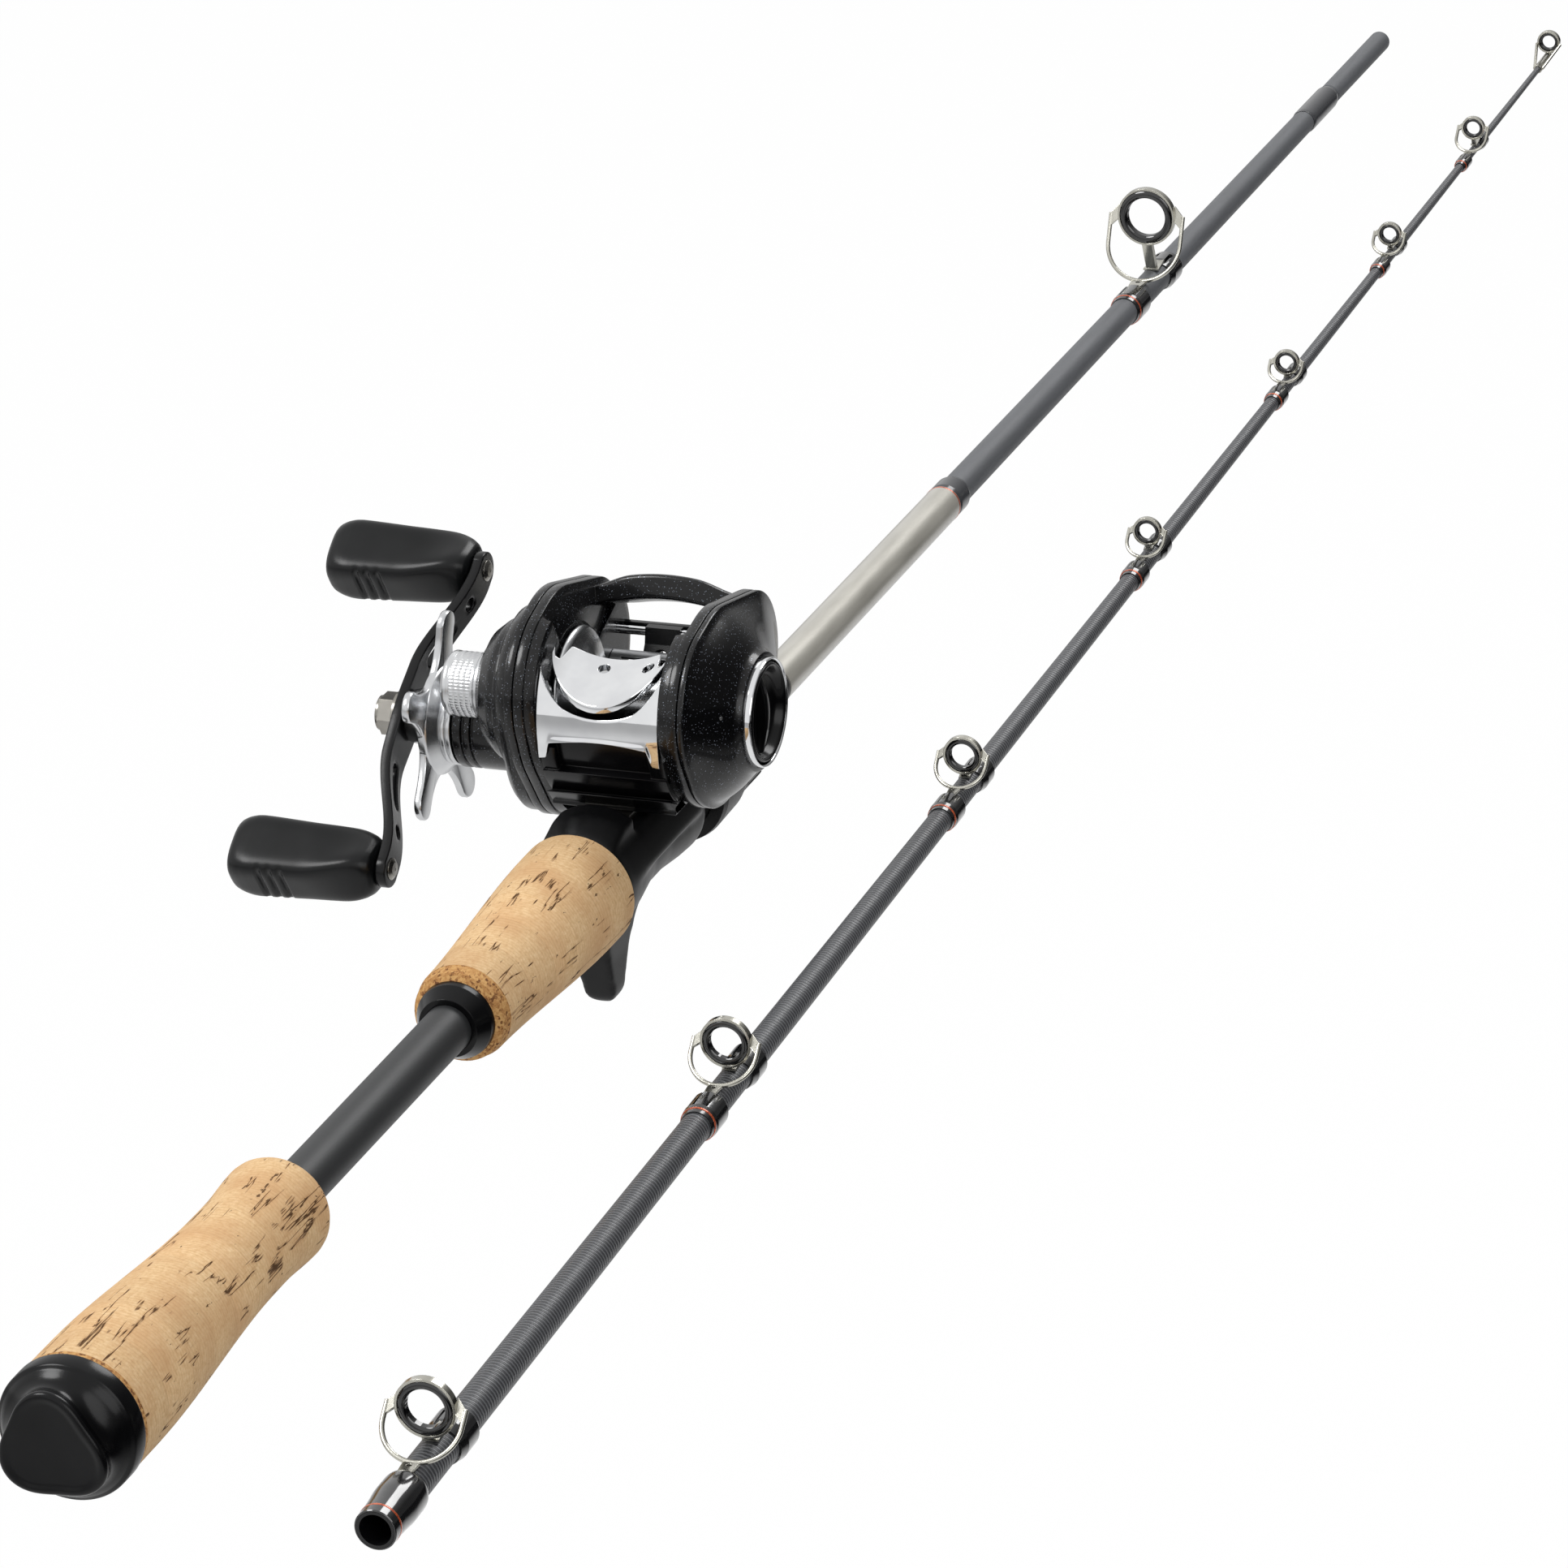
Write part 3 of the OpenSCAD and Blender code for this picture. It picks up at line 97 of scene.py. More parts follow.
# ------------------------------------------------------------------ materials
def natural_cork():
    """Natural cork, discs glued, turned and sanded: pale warm tan, with thin dark cracks and pits drawn out
    along the grip, fine growth rings across it, and a faint line every 12 mm where discs meet. No gloss."""
    material, m = empty("turned_natural_cork")
    where = add(m, "ShaderNodeTexCoord", out="Object")
    along = add(m, "ShaderNodeSeparateXYZ", {0: where})
    fine = add(m, "ShaderNodeTexNoise", {"Vector": where, "Scale": 1100, "Detail": 5, "Roughness": 0.7})
    patch = add(m, "ShaderNodeTexNoise", {"Vector": where, "Scale": 90, "Detail": 3})
    colour = add(m, "ShaderNodeValToRGB", {"Fac": fine},
        stops=[[0.3, "#CCA576"], [0.5, "#DBB88A"], [0.7, "#E5C79C"]])
    warm = add(m, "ShaderNodeValToRGB", {"Fac": patch}, stops=[[0.42, 0.0], [0.66, 0.6]])
    colour = add(m, "ShaderNodeMix", {0: warm, 6: colour, 7: "#C79B6E"}, 2, data_type="RGBA")
    # growth rings about 1 mm apart, wavering
    sway = add(m, "ShaderNodeTexNoise", {"Vector": where, "Scale": 70, "Detail": 2})
    bent = add(m, "ShaderNodeMath", {0: sway, 1: 0.005, 2: along}, operation="MULTIPLY_ADD")
    turn = add(m, "ShaderNodeMath", {0: bent, 1: 2 * math.pi / 0.001}, operation="MULTIPLY")
    ring = add(m, "ShaderNodeMath", {0: turn}, operation="SINE")
    ring = add(m, "ShaderNodeValToRGB", {"Fac": ring}, stops=[[0.2, 0.0], [0.9, 0.16]])
    colour = add(m, "ShaderNodeMix", {0: ring, 6: colour, 7: "#A87B50"}, 2, data_type="RGBA")
    # each disc has its own tone, and a thin glue line
    disc = add(m, "ShaderNodeMath", {0: along, 1: 1 / 0.012}, operation="MULTIPLY")
    number = add(m, "ShaderNodeMath", {0: disc}, operation="FLOOR")
    tone = add(m, "ShaderNodeTexWhiteNoise", {"W": number}, noise_dimensions="1D")
    tone = add(m, "ShaderNodeMath", {0: tone, 1: 0.12, 2: 0.9}, operation="MULTIPLY_ADD")
    colour = add(m, "ShaderNodeMix", {0: 1.0, 6: colour, 7: tone}, 2, data_type="RGBA", blend_type="MULTIPLY")
    edge = add(m, "ShaderNodeMath", {0: disc, 1: 0.5}, operation="PINGPONG")
    glue = add(m, "ShaderNodeValToRGB", {"Fac": edge}, stops=[[0.0, 0.25], [0.02, 0.0]])
    colour = add(m, "ShaderNodeMix", {0: glue, 6: colour, 7: "#A97B4C"}, 2, data_type="RGBA")
    # long thin cracks: the zero line of a drawn-out noise, kept only in patches; and small pits between them
    crack_place = add(m, "ShaderNodeMapping", {"Vector": where, "Scale": (0.06, 1, 1)})
    line = add(m, "ShaderNodeTexNoise", {"Vector": crack_place, "Scale": 260, "Detail": 4, "Roughness": 0.55})
    line = add(m, "ShaderNodeMath", {0: line, 1: 0.5}, operation="SUBTRACT")
    line = add(m, "ShaderNodeMath", {0: line}, operation="ABSOLUTE")
    patch_place = add(m, "ShaderNodeMapping", {"Vector": where, "Scale": (0.4, 1, 1),
        "Location": (0.2, 0.1, 0)})
    field = add(m, "ShaderNodeTexNoise", {"Vector": patch_place, "Scale": 240, "Detail": 2, "Roughness": 0.5})
    here = add(m, "ShaderNodeValToRGB", {"Fac": field}, stops=[[0.53, 0.0], [0.57, 1.0]])
    crack = add(m, "ShaderNodeValToRGB", {"Fac": line}, stops=[[0.005, 1.0], [0.012, 0.0]])
    crack = add(m, "ShaderNodeMath", {0: crack, 1: here}, operation="MULTIPLY")
    halo = add(m, "ShaderNodeValToRGB", {"Fac": line}, stops=[[0.0, 0.55], [0.035, 0.0]])
    halo = add(m, "ShaderNodeMath", {0: halo, 1: here}, operation="MULTIPLY")
    pit_place = add(m, "ShaderNodeMapping", {"Vector": where, "Scale": (0.35, 1, 1)})
    pit = add(m, "ShaderNodeTexNoise", {"Vector": pit_place, "Scale": 800, "Detail": 3, "Roughness": 0.6})
    pit = add(m, "ShaderNodeMath", {0: field, 1: 0.45, 2: pit}, operation="MULTIPLY_ADD")
    pit = add(m, "ShaderNodeValToRGB", {"Fac": pit}, stops=[[0.93, 0.0], [0.955, 0.9]])
    dark = add(m, "ShaderNodeMath", {0: crack, 1: pit}, operation="MAXIMUM")
    colour = add(m, "ShaderNodeMix", {0: halo, 6: colour, 7: "#A4764A"}, 2, data_type="RGBA")
    colour = add(m, "ShaderNodeMix", {0: dark, 6: colour, 7: "#54391F"}, 2, data_type="RGBA")
    relief = add(m, "ShaderNodeBump", {"Height": fine, "Distance": 0.0001, "Strength": 0.5})
    relief = add(m, "ShaderNodeBump", {"Height": dark, "Distance": -0.0004, "Strength": 0.6,
        "Normal": relief})
    shader = add(m, "ShaderNodeBsdfPrincipled", {"Base Color": colour, "Roughness": 0.8, "IOR": 1.4,
        "Specular IOR Level": 0.3, "Normal": relief})
    add(m, "ShaderNodeOutputMaterial", {"Surface": shader})
    return material


def composition_cork():
    """Ground cork pressed in rubber and turned: warm brown, with grains about 0.6 mm across."""
    material, m = empty("pressed_composition_cork")
    where = add(m, "ShaderNodeTexCoord", out="Object")
    grains = add(m, "ShaderNodeTexVoronoi", {"Vector": where, "Scale": 1600}, "Color")
    fine = add(m, "ShaderNodeTexNoise", {"Vector": where, "Scale": 2200, "Detail": 4})
    both = add(m, "ShaderNodeMix", {0: 0.5, 6: grains, 7: fine}, 2, data_type="RGBA")
    colour = add(m, "ShaderNodeValToRGB", {"Fac": both},
        stops=[[0.3, "#6B4426"], [0.42, "#AB7A47"], [0.65, "#C59A61"]])
    relief = add(m, "ShaderNodeBump", {"Height": fine, "Distance": 0.0001, "Strength": 0.6})
    shader = add(m, "ShaderNodeBsdfPrincipled", {"Base Color": colour, "Roughness": 0.75, "IOR": 1.45,
        "Specular IOR Level": 0.3, "Normal": relief})
    add(m, "ShaderNodeOutputMaterial", {"Surface": shader})
    return material


def butt_blank():
    """Graphite tube, sanded smooth under satin lacquer: even charcoal with a broad soft sheen."""
    material, m = empty("lacquered_graphite")
    where = add(m, "ShaderNodeTexCoord", out="Object")
    drawn = add(m, "ShaderNodeMapping", {"Vector": where, "Scale": (0.1, 1, 1)})
    fibre = add(m, "ShaderNodeTexNoise", {"Vector": drawn, "Scale": 700, "Detail": 3})
    colour = add(m, "ShaderNodeValToRGB", {"Fac": fibre}, stops=[[0.3, "#515356"], [0.7, "#585A5E"]])
    shader = add(m, "ShaderNodeBsdfPrincipled", {"Base Color": colour, "Roughness": 0.52, "IOR": 1.5})
    add(m, "ShaderNodeOutputMaterial", {"Surface": shader})
    return material


def taped_blank():
    """Graphite tube left unsanded: the shrink tape's fine ridges, drawn 1.1 mm apart so that they show, with
    a painted highlight on each crest and painted shade in each trough round the tube."""
    material, m = empty("unsanded_graphite")
    where = add(m, "ShaderNodeTexCoord", out="Object")
    along = add(m, "ShaderNodeSeparateXYZ", {0: where})
    away = add(m, "ShaderNodeMath", {0: along, 1: -TIP_AT.x * MM}, operation="ADD")
    wander = add(m, "ShaderNodeTexNoise", {"Vector": where, "Scale": 180, "Detail": 1})
    bent = add(m, "ShaderNodeMath", {0: wander, 1: 0.0007, 2: along}, operation="MULTIPLY_ADD")
    turn = add(m, "ShaderNodeMath", {0: bent, 1: 2 * math.pi / 0.0011}, operation="MULTIPLY")
    ridge = add(m, "ShaderNodeMath", {0: turn}, operation="SINE")
    # the ridges start behind the wrap at the mouth, so that the bore seen through it is smooth; there the
    # tube is painted near black, as painted shade inside the bore
    start = add(m, "ShaderNodeValToRGB", {"Fac": away}, stops=[[0.012, 0.0], [0.013, 1.0]])
    ridge = add(m, "ShaderNodeMath", {0: ridge, 1: start}, operation="MULTIPLY")
    # painted highlight and painted shade: each ridge's crest is coloured lighter and its trough darker,
    # beside the bump
    colour = add(m, "ShaderNodeValToRGB", {"Fac": ridge}, stops=[[0.0, "#36373A"], [0.7, "#5E5F62"]])
    # painted shade: near black inside the mouth's bore
    colour = add(m, "ShaderNodeMix", {0: start, 6: "#08080A", 7: colour}, 2, data_type="RGBA")
    relief = add(m, "ShaderNodeBump", {"Height": ridge, "Distance": 0.00007, "Strength": 0.7})
    shader = add(m, "ShaderNodeBsdfPrincipled", {"Base Color": colour, "Roughness": 0.38, "IOR": 1.5,
        "Normal": relief})
    add(m, "ShaderNodeOutputMaterial", {"Surface": shader})
    return material


def moulding(name, colour, roughness, grit=0.0004, depth=0.00001, gloss=0.5):
    """Injection-moulded or lacquered black: grit is its texture in metres, depth its relief; corners are
    softened by 0.3 mm, so they catch a thin line of light."""
    material, m = empty(name)
    where = add(m, "ShaderNodeTexCoord", out="Object")
    fine = add(m, "ShaderNodeTexNoise", {"Vector": where, "Scale": 1 / grit, "Detail": 2})
    broad = add(m, "ShaderNodeTexNoise", {"Vector": where, "Scale": 110, "Detail": 3})
    shade = add(m, "ShaderNodeValToRGB", {"Fac": broad}, stops=[[0.3, 0.0], [0.75, 0.06]])
    tone = add(m, "ShaderNodeMix", {0: shade, 6: colour, 7: "#3A3B3E"}, 2, data_type="RGBA")
    rough = add(m, "ShaderNodeMath", {0: broad, 1: 0.06, 2: roughness - 0.03}, operation="MULTIPLY_ADD")
    corner = add(m, "ShaderNodeBevel", {"Radius": 0.3 * MM}, samples=4)
    relief = add(m, "ShaderNodeBump", {"Height": fine, "Distance": depth, "Strength": 0.6, "Normal": corner})
    shader = add(m, "ShaderNodeBsdfPrincipled", {"Base Color": tone, "Roughness": rough, "IOR": 1.5,
        "Specular IOR Level": gloss, "Normal": relief})
    add(m, "ShaderNodeOutputMaterial", {"Surface": shader})
    return material


def flake_lacquer():
    """Black base coat with fine silver flakes under clear lacquer, sprayed on cast metal: dark and glossy,
    with separate sparks of light. The flakes, about 0.05 mm across, are drawn 0.2 mm across so that they
    show."""
    material, m = empty("flake_lacquer")
    where = add(m, "ShaderNodeTexCoord", out="Object")
    cells = add(m, "ShaderNodeTexVoronoi", {"Vector": where, "Scale": 4200}, "Color")
    pick = add(m, "ShaderNodeSeparateColor", {0: cells})
    near = add(m, "ShaderNodeTexVoronoi", {"Vector": where, "Scale": 4200})
    chosen = add(m, "ShaderNodeValToRGB", {"Fac": pick}, stops=[[0.91, 0.0], [0.99, 1.0]])
    middle = add(m, "ShaderNodeValToRGB", {"Fac": near}, stops=[[0.35, 1.0], [0.55, 0.0]])
    flake = add(m, "ShaderNodeMath", {0: chosen, 1: middle}, operation="MULTIPLY")
    colour = add(m, "ShaderNodeMix", {0: flake, 6: "#060607", 7: "#868D99"}, 2, data_type="RGBA")
    metal = add(m, "ShaderNodeMath", {0: flake, 1: 0.5}, operation="MULTIPLY")
    corner = add(m, "ShaderNodeBevel", {"Radius": 0.25 * MM}, samples=4)
    shader = add(m, "ShaderNodeBsdfPrincipled", {"Base Color": colour, "Metallic": metal, "Roughness": 0.26,
        "IOR": 1.5, "Specular IOR Level": 0.25, "Coat Weight": 0.25, "Coat Roughness": 0.05,
        "Normal": corner})
    add(m, "ShaderNodeOutputMaterial", {"Surface": shader})
    return material


def bright_metal(name, dark, light, roughness, marks=0.0):
    """Turned, brushed or plated metal: dark and light are its tones, marks the spread of roughness that the
    tool or the polishing left. Its corners are broken by 0.2 mm."""
    material, m = empty(name)
    where = add(m, "ShaderNodeTexCoord", out="Object")
    drawn = add(m, "ShaderNodeMapping", {"Vector": where, "Scale": (1, 0.12, 1)})
    lines = add(m, "ShaderNodeTexNoise", {"Vector": drawn, "Scale": 4000, "Detail": 3})
    broad = add(m, "ShaderNodeTexNoise", {"Vector": where, "Scale": 160, "Detail": 2})
    colour = add(m, "ShaderNodeValToRGB", {"Fac": broad}, stops=[[0.3, dark], [0.7, light]])
    rough = roughness
    if marks:
        rough = add(m, "ShaderNodeMath", {0: lines, 1: marks, 2: roughness}, operation="MULTIPLY_ADD")
    corner = add(m, "ShaderNodeBevel", {"Radius": 0.2 * MM}, samples=4)
    relief = add(m, "ShaderNodeBump", {"Height": lines, "Distance": 0.000006,
        "Strength": 0.4 if marks else 0.05, "Normal": corner})
    shader = add(m, "ShaderNodeBsdfPrincipled", {"Base Color": colour, "Metallic": 1.0, "Roughness": rough,
        "Normal": relief})
    add(m, "ShaderNodeOutputMaterial", {"Surface": shader})
    return material


def thread_wrap():
    """Black nylon thread under thick clear epoxy: glossy, a little wavy. The thread, 0.25 mm thick, is drawn
    0.5 mm apart so that it shows, each turn with a painted sheen on its crest and painted shade between
    turns."""
    material, m = empty("epoxied_thread")
    where = add(m, "ShaderNodeTexCoord", out="Object")
    along = add(m, "ShaderNodeSeparateXYZ", {0: where})
    turn = add(m, "ShaderNodeMath", {0: along, 1: 2 * math.pi / 0.0005}, operation="MULTIPLY")
    thread = add(m, "ShaderNodeMath", {0: turn}, operation="SINE")
    # painted sheen and painted shade: each turn coloured lighter on its crest and darker between turns
    colour = add(m, "ShaderNodeValToRGB", {"Fac": thread}, stops=[[0.0, "#0A0A0B"], [0.8, "#17181A"]])
    flow = add(m, "ShaderNodeTexNoise", {"Vector": where, "Scale": 240, "Detail": 2})
    relief = add(m, "ShaderNodeBump", {"Height": flow, "Distance": 0.00012, "Strength": 0.5})
    shader = add(m, "ShaderNodeBsdfPrincipled", {"Base Color": colour, "Roughness": 0.14, "IOR": 1.55,
        "Coat Weight": 0.8, "Coat Roughness": 0.03, "Normal": relief})
    add(m, "ShaderNodeOutputMaterial", {"Surface": shader})
    return material


def trim_thread():
    """Metallic orange-red thread under epoxy: the narrow trim line of a wrap."""
    material, m = empty("metallic_trim_thread")
    where = add(m, "ShaderNodeTexCoord", out="Object")
    glint = add(m, "ShaderNodeTexNoise", {"Vector": where, "Scale": 2500, "Detail": 2})
    colour = add(m, "ShaderNodeValToRGB", {"Fac": glint}, stops=[[0.35, "#8E2C14"], [0.65, "#D8642C"]])
    shader = add(m, "ShaderNodeBsdfPrincipled", {"Base Color": colour, "Metallic": 0.4, "Roughness": 0.25,
        "Coat Weight": 0.8, "Coat Roughness": 0.04})
    add(m, "ShaderNodeOutputMaterial", {"Surface": shader})
    return material


def silver_band():
    """Metallised band under epoxy: smooth beige silver, brighter on the lit side."""
    material, m = empty("metallised_band")
    where = add(m, "ShaderNodeTexCoord", out="Object")
    drawn = add(m, "ShaderNodeMapping", {"Vector": where, "Scale": (0.15, 1, 1)})
    streak = add(m, "ShaderNodeTexNoise", {"Vector": drawn, "Scale": 320, "Detail": 2})
    colour = add(m, "ShaderNodeValToRGB", {"Fac": streak}, stops=[[0.3, "#A5A299"], [0.7, "#B8B5AC"]])
    shader = add(m, "ShaderNodeBsdfPrincipled", {"Base Color": colour, "Metallic": 0.35, "Roughness": 0.34,
        "Coat Weight": 0.5, "Coat Roughness": 0.06})
    add(m, "ShaderNodeOutputMaterial", {"Surface": shader})
    return material


def polished_ceramic():
    """Sintered ceramic ring, polished: near black, almost a mirror."""
    material, m = empty("polished_ceramic")
    where = add(m, "ShaderNodeTexCoord", out="Object")
    cloud = add(m, "ShaderNodeTexNoise", {"Vector": where, "Scale": 900, "Detail": 2})
    colour = add(m, "ShaderNodeValToRGB", {"Fac": cloud}, stops=[[0.3, "#040405"], [0.7, "#08080A"]])
    shader = add(m, "ShaderNodeBsdfPrincipled", {"Base Color": colour, "Roughness": 0.06, "IOR": 1.9,
        "Specular IOR Level": 0.35})
    add(m, "ShaderNodeOutputMaterial", {"Surface": shader})
    return material


FINISH = {
    "cork": natural_cork(),
    "composition_cork": composition_cork(),
    "blank": butt_blank(),
    "tapes": taped_blank(),
    # shrunk-on vinyl: even charcoal, soft sheen
    "sleeve_black": moulding("satin_charcoal_sleeve", "#2A2B2C", 0.5, gloss=0.4),
    # moulded ABS from a polished mould: deep black, crisp highlights
    "cap_black": moulding("gloss_black_moulding", "#050506", 0.2, gloss=0.22),
    # glass-filled nylon from an eroded mould: black, with a dull grain
    "seat_black": moulding("fine_textured_nylon", "#070708", 0.38, depth=0.000012, gloss=0.22),
    "pearl_sleeve": silver_band(),
    "wrap_black": thread_wrap(),
    # epoxy over the bare tube: charcoal under a wet shine
    "wrap_clear": moulding("clear_lacquer_over_graphite", "#3E3F42", 0.14, gloss=0.6),
    "trim": trim_thread(),
    # stainless wire and sheet, tumbled bright: warm grey
    "guide_steel": bright_metal("polished_stainless_frame", "#A9A79E", "#C6C4BA", 0.14, 0.05),
    "ceramic": polished_ceramic(),
    "reel_black": flake_lacquer(),
    # aluminium, blasted and clear anodised: soft grey
    "frame_silver": bright_metal("satin_aluminium", "#A9AAAC", "#BDBEC0", 0.28, 0.1),
    # nickel plate over polished brass: a mirror
    "chrome": bright_metal("bright_nickel_plate", "#D9DADC", "#E4E5E6", 0.04),
    # turned and clear anodised: bright, with blurred reflections
    "spool_silver": bright_metal("turned_anodised_aluminium", "#BFC0C2", "#D2D3D4", 0.2, 0.1),
    # turned carbon steel, oiled: darker and browner than aluminium
    "steel": bright_metal("turned_steel", "#86837D", "#9C9993", 0.2, 0.1),
    # hobbed brass: yellow, with tool marks
    "brass": bright_metal("cut_brass", "#B08D4A", "#C7A55E", 0.25, 0.1),
    # sintered ferrite: dark grey and dull
    "magnet": moulding("sintered_magnet", "#2E2E30", 0.5),
    # woven fibre pressed in resin: black and dull
    "drag_fibre": moulding("woven_fibre_washer", "#1A1A1B", 0.6),
    # rubbery paint on moulded ABS: black with a broad grey sheen
    "knob_black": moulding("soft_touch_moulding", "#040506", 0.3, grit=0.0003, depth=0.000005, gloss=0.27),
    # stamped aluminium, black anodised: black with a tight sheen
    "arm_black": moulding("black_anodised_arm", "#050506", 0.24, gloss=0.26),
}
# nodes whose finish isn't their slot's own
OWN_FINISH = {"tip_blank": "tapes", "winding_check": "cap_black"}
SLOT = {part["node"]: part["material_slot"] for part in frame["record"]["subparts"]}
for name, piece in frame["nodes"].items():
    piece.data.materials.clear()
    piece.data.materials.append(FINISH[OWN_FINISH.get(name, SLOT[name])])


# ------------------------------------------------------------------ mesh helpers
def to_reel(points):
    """Reel millimetres (about the spool axis) to frame metres."""
    return (np.asarray(points, float) + REEL_AT) * MM


def placed(name, data):
    """An object in the scene."""
    thing = bpy.data.objects.new(name, data)
    bpy.context.scene.collection.objects.link(thing)
    return thing


def evaluated_mesh(thing):
    """The mesh that an object's modifiers or its curve give."""
    bpy.context.view_layer.update()
    return bpy.data.meshes.new_from_object(thing.evaluated_get(bpy.context.evaluated_depsgraph_get()))


def closed_mesh(name, points, faces):
    """A mesh without double points, its faces turned outwards."""
    mesh = bpy.data.meshes.new(name)
    mesh.from_pydata(points, [], faces)
    shape = bmesh.new()
    shape.from_mesh(mesh)
    bmesh.ops.remove_doubles(shape, verts=shape.verts, dist=1e-7)
    bmesh.ops.recalc_face_normals(shape, faces=shape.faces)
    shape.to_mesh(mesh)
    shape.free()
    return mesh


def turned(x, z, angle):
    """A point or an array of points turned about the origin."""
    return x * math.cos(angle) - z * math.sin(angle), x * math.sin(angle) + z * math.cos(angle)


class Form:
    """Collects closed shells, then becomes one piece."""

    def __init__(self):
        self.points, self.faces, self.count = [], [], 0

    def rings(self, rings, closed_loop=False):
        """Skins a list of equal rings; the ends are capped, or joined into a loop."""
        rings = np.asarray(rings, float)
        rows, n = rings.shape[:2]
        faces = []
        for k in range(rows if closed_loop else rows - 1):
            a, b = k * n, ((k + 1) % rows) * n
            faces += [[a + i, a + (i + 1) % n, b + (i + 1) % n, b + i] for i in range(n)]
        points = rings.reshape(-1, 3)
        if not closed_loop:
            top = (rows - 1) * n
            points = np.vstack([points, rings[0].mean(0), rings[-1].mean(0)])
            faces += [[(i + 1) % n, i, rows * n] for i in range(n)]
            faces += [[top + i, top + (i + 1) % n, rows * n + 1] for i in range(n)]
        self.faces += [[i + self.count for i in face] for face in faces]
        self.points.append(points)
        self.count += len(points)

    def lathe(self, profile, at=(0, 0), steps=96):
        """Turns a closed [radius, y] outline about an axis along Y at [x, z]; radii of 0 make it solid."""
        angle = np.arange(steps) * 2 * math.pi / steps
        solid = profile[0][0] < 1e-6
        rows = [p for p in profile if p[0] >= 1e-6] if solid else profile
        rings = [[[at[0] + r * math.cos(t), y, at[1] + r * math.sin(t)] for t in angle] for r, y in rows]
        self.rings(rings, closed_loop=not solid)

    def collar(self, profile, at, turn, step=5):
        """Turns a closed [distance, radius] outline about the axis of a rod section."""
        around = np.radians(np.arange(0, 360, step))
        self.rings([[list(turn @ Vector((s, r * math.cos(t), r * math.sin(t))) + at) for t in around]
            for s, r in profile], closed_loop=True)

    def prism(self, outline, y0, y1, edge=0.3):
        """A slab with softened edges from an [x, z] outline."""
        flat = anticlockwise(outline)
        inner = shrunk(flat, edge)
        middle = shrunk(flat, edge * 0.29)
        levels = [(y0, inner), (y0 + edge * 0.29, middle), (y0 + edge, flat), (y1 - edge, flat),
            (y1 - edge * 0.29, middle), (y1, inner)]
        self.rings([[[p[0], y, p[1]] for p in ring] for y, ring in levels])

    def piece(self, name, finish, body, stands_for=(), sharp=35, reel=True):
        """Makes one piece of all the shells, in reel millimetres or else in frame millimetres."""
        points = np.vstack(self.points)
        points = to_reel(points) if reel else points * MM
        return settle(name, closed_mesh(name, points.tolist(), self.faces), finish, body, stands_for, sharp)


def settle(name, mesh, finish, body, stands_for=(), sharp=35):
    """Makes the piece, smooth but for edges sharper than `sharp` degrees, and ties it to its body."""
    mesh.shade_smooth()
    mesh.set_sharp_from_angle(angle=math.radians(sharp))
    piece = placed(name, mesh)
    mesh.materials.clear()
    mesh.materials.append(FINISH[finish])
    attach(piece, body)
    if stands_for:
        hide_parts(*stands_for)
    return piece


def shrunk(outline, by):
    """An outline moved inwards by a distance; it runs anticlockwise."""
    before, after = np.roll(outline, 1, 0), np.roll(outline, -1, 0)
    first, second = outline - before, after - outline
    first /= np.linalg.norm(first, axis=1)[:, None] + 1e-12
    second /= np.linalg.norm(second, axis=1)[:, None] + 1e-12
    normal = np.stack([-(first + second)[:, 1], (first + second)[:, 0]], 1)
    length = np.linalg.norm(normal, axis=1)[:, None] + 1e-12
    normal /= length
    corner = np.clip(length / 2, 0.35, 1)
    return outline + normal * by / corner


def rounded(corners, radius, steps=4, closed=True):
    """Rounds the corners of a line of points; radius may be one value or one per corner."""
    corners = [np.asarray(c, float) for c in corners]
    n = len(corners)
    radii = radius if isinstance(radius, (list, tuple)) else [radius] * n
    line = []
    for i, here in enumerate(corners):
        if not closed and i in (0, n - 1) or radii[i] <= 0:
            line.append(here)
            continue
        back, ahead = corners[i - 1] - here, corners[(i + 1) % n] - here
        a, b = np.linalg.norm(back), np.linalg.norm(ahead)
        cut = min(radii[i], a * 0.48, b * 0.48)
        p, q = here + back / a * cut, here + ahead / b * cut
        for k in range(steps + 1):
            t = k / steps
            line.append((1 - t) ** 2 * p + 2 * t * (1 - t) * here + t * t * q)
    return [list(map(float, p)) for p in line]


def anticlockwise(outline):
    """An outline as an array that runs anticlockwise."""
    flat = np.asarray(outline, float)
    ahead = np.roll(flat, -1, 0)
    area = (flat[:, 0] * ahead[:, 1] - ahead[:, 0] * flat[:, 1]).sum()
    return flat if area > 0 else flat[::-1]


def ease(t):
    """A smooth step from 0 to 1."""
    t = min(max(t, 0.0), 1.0)
    return t * t * (3 - 2 * t)


# ------------------------------------------------------------------ outlines of the reel's sides
# circles [x, z, radius] that the outlines wrap, mm from the spool axis
GEAR_MAIN, GEAR_REAR, GEAR_DROP = (0, 1.4, 23.2), (-6, 4.5, 18.6), (3.5, -9.8, 19.6)
FRONT, OVER_GEAR = (20.5, 3.2, 16), (9, -12.8, 15.2)
PALM_MAIN, PALM_REAR = (0, 0.5, 22.8), (-6.8, 3.5, 18.4)
ROUND = np.radians(np.arange(0, 360, 1.5))


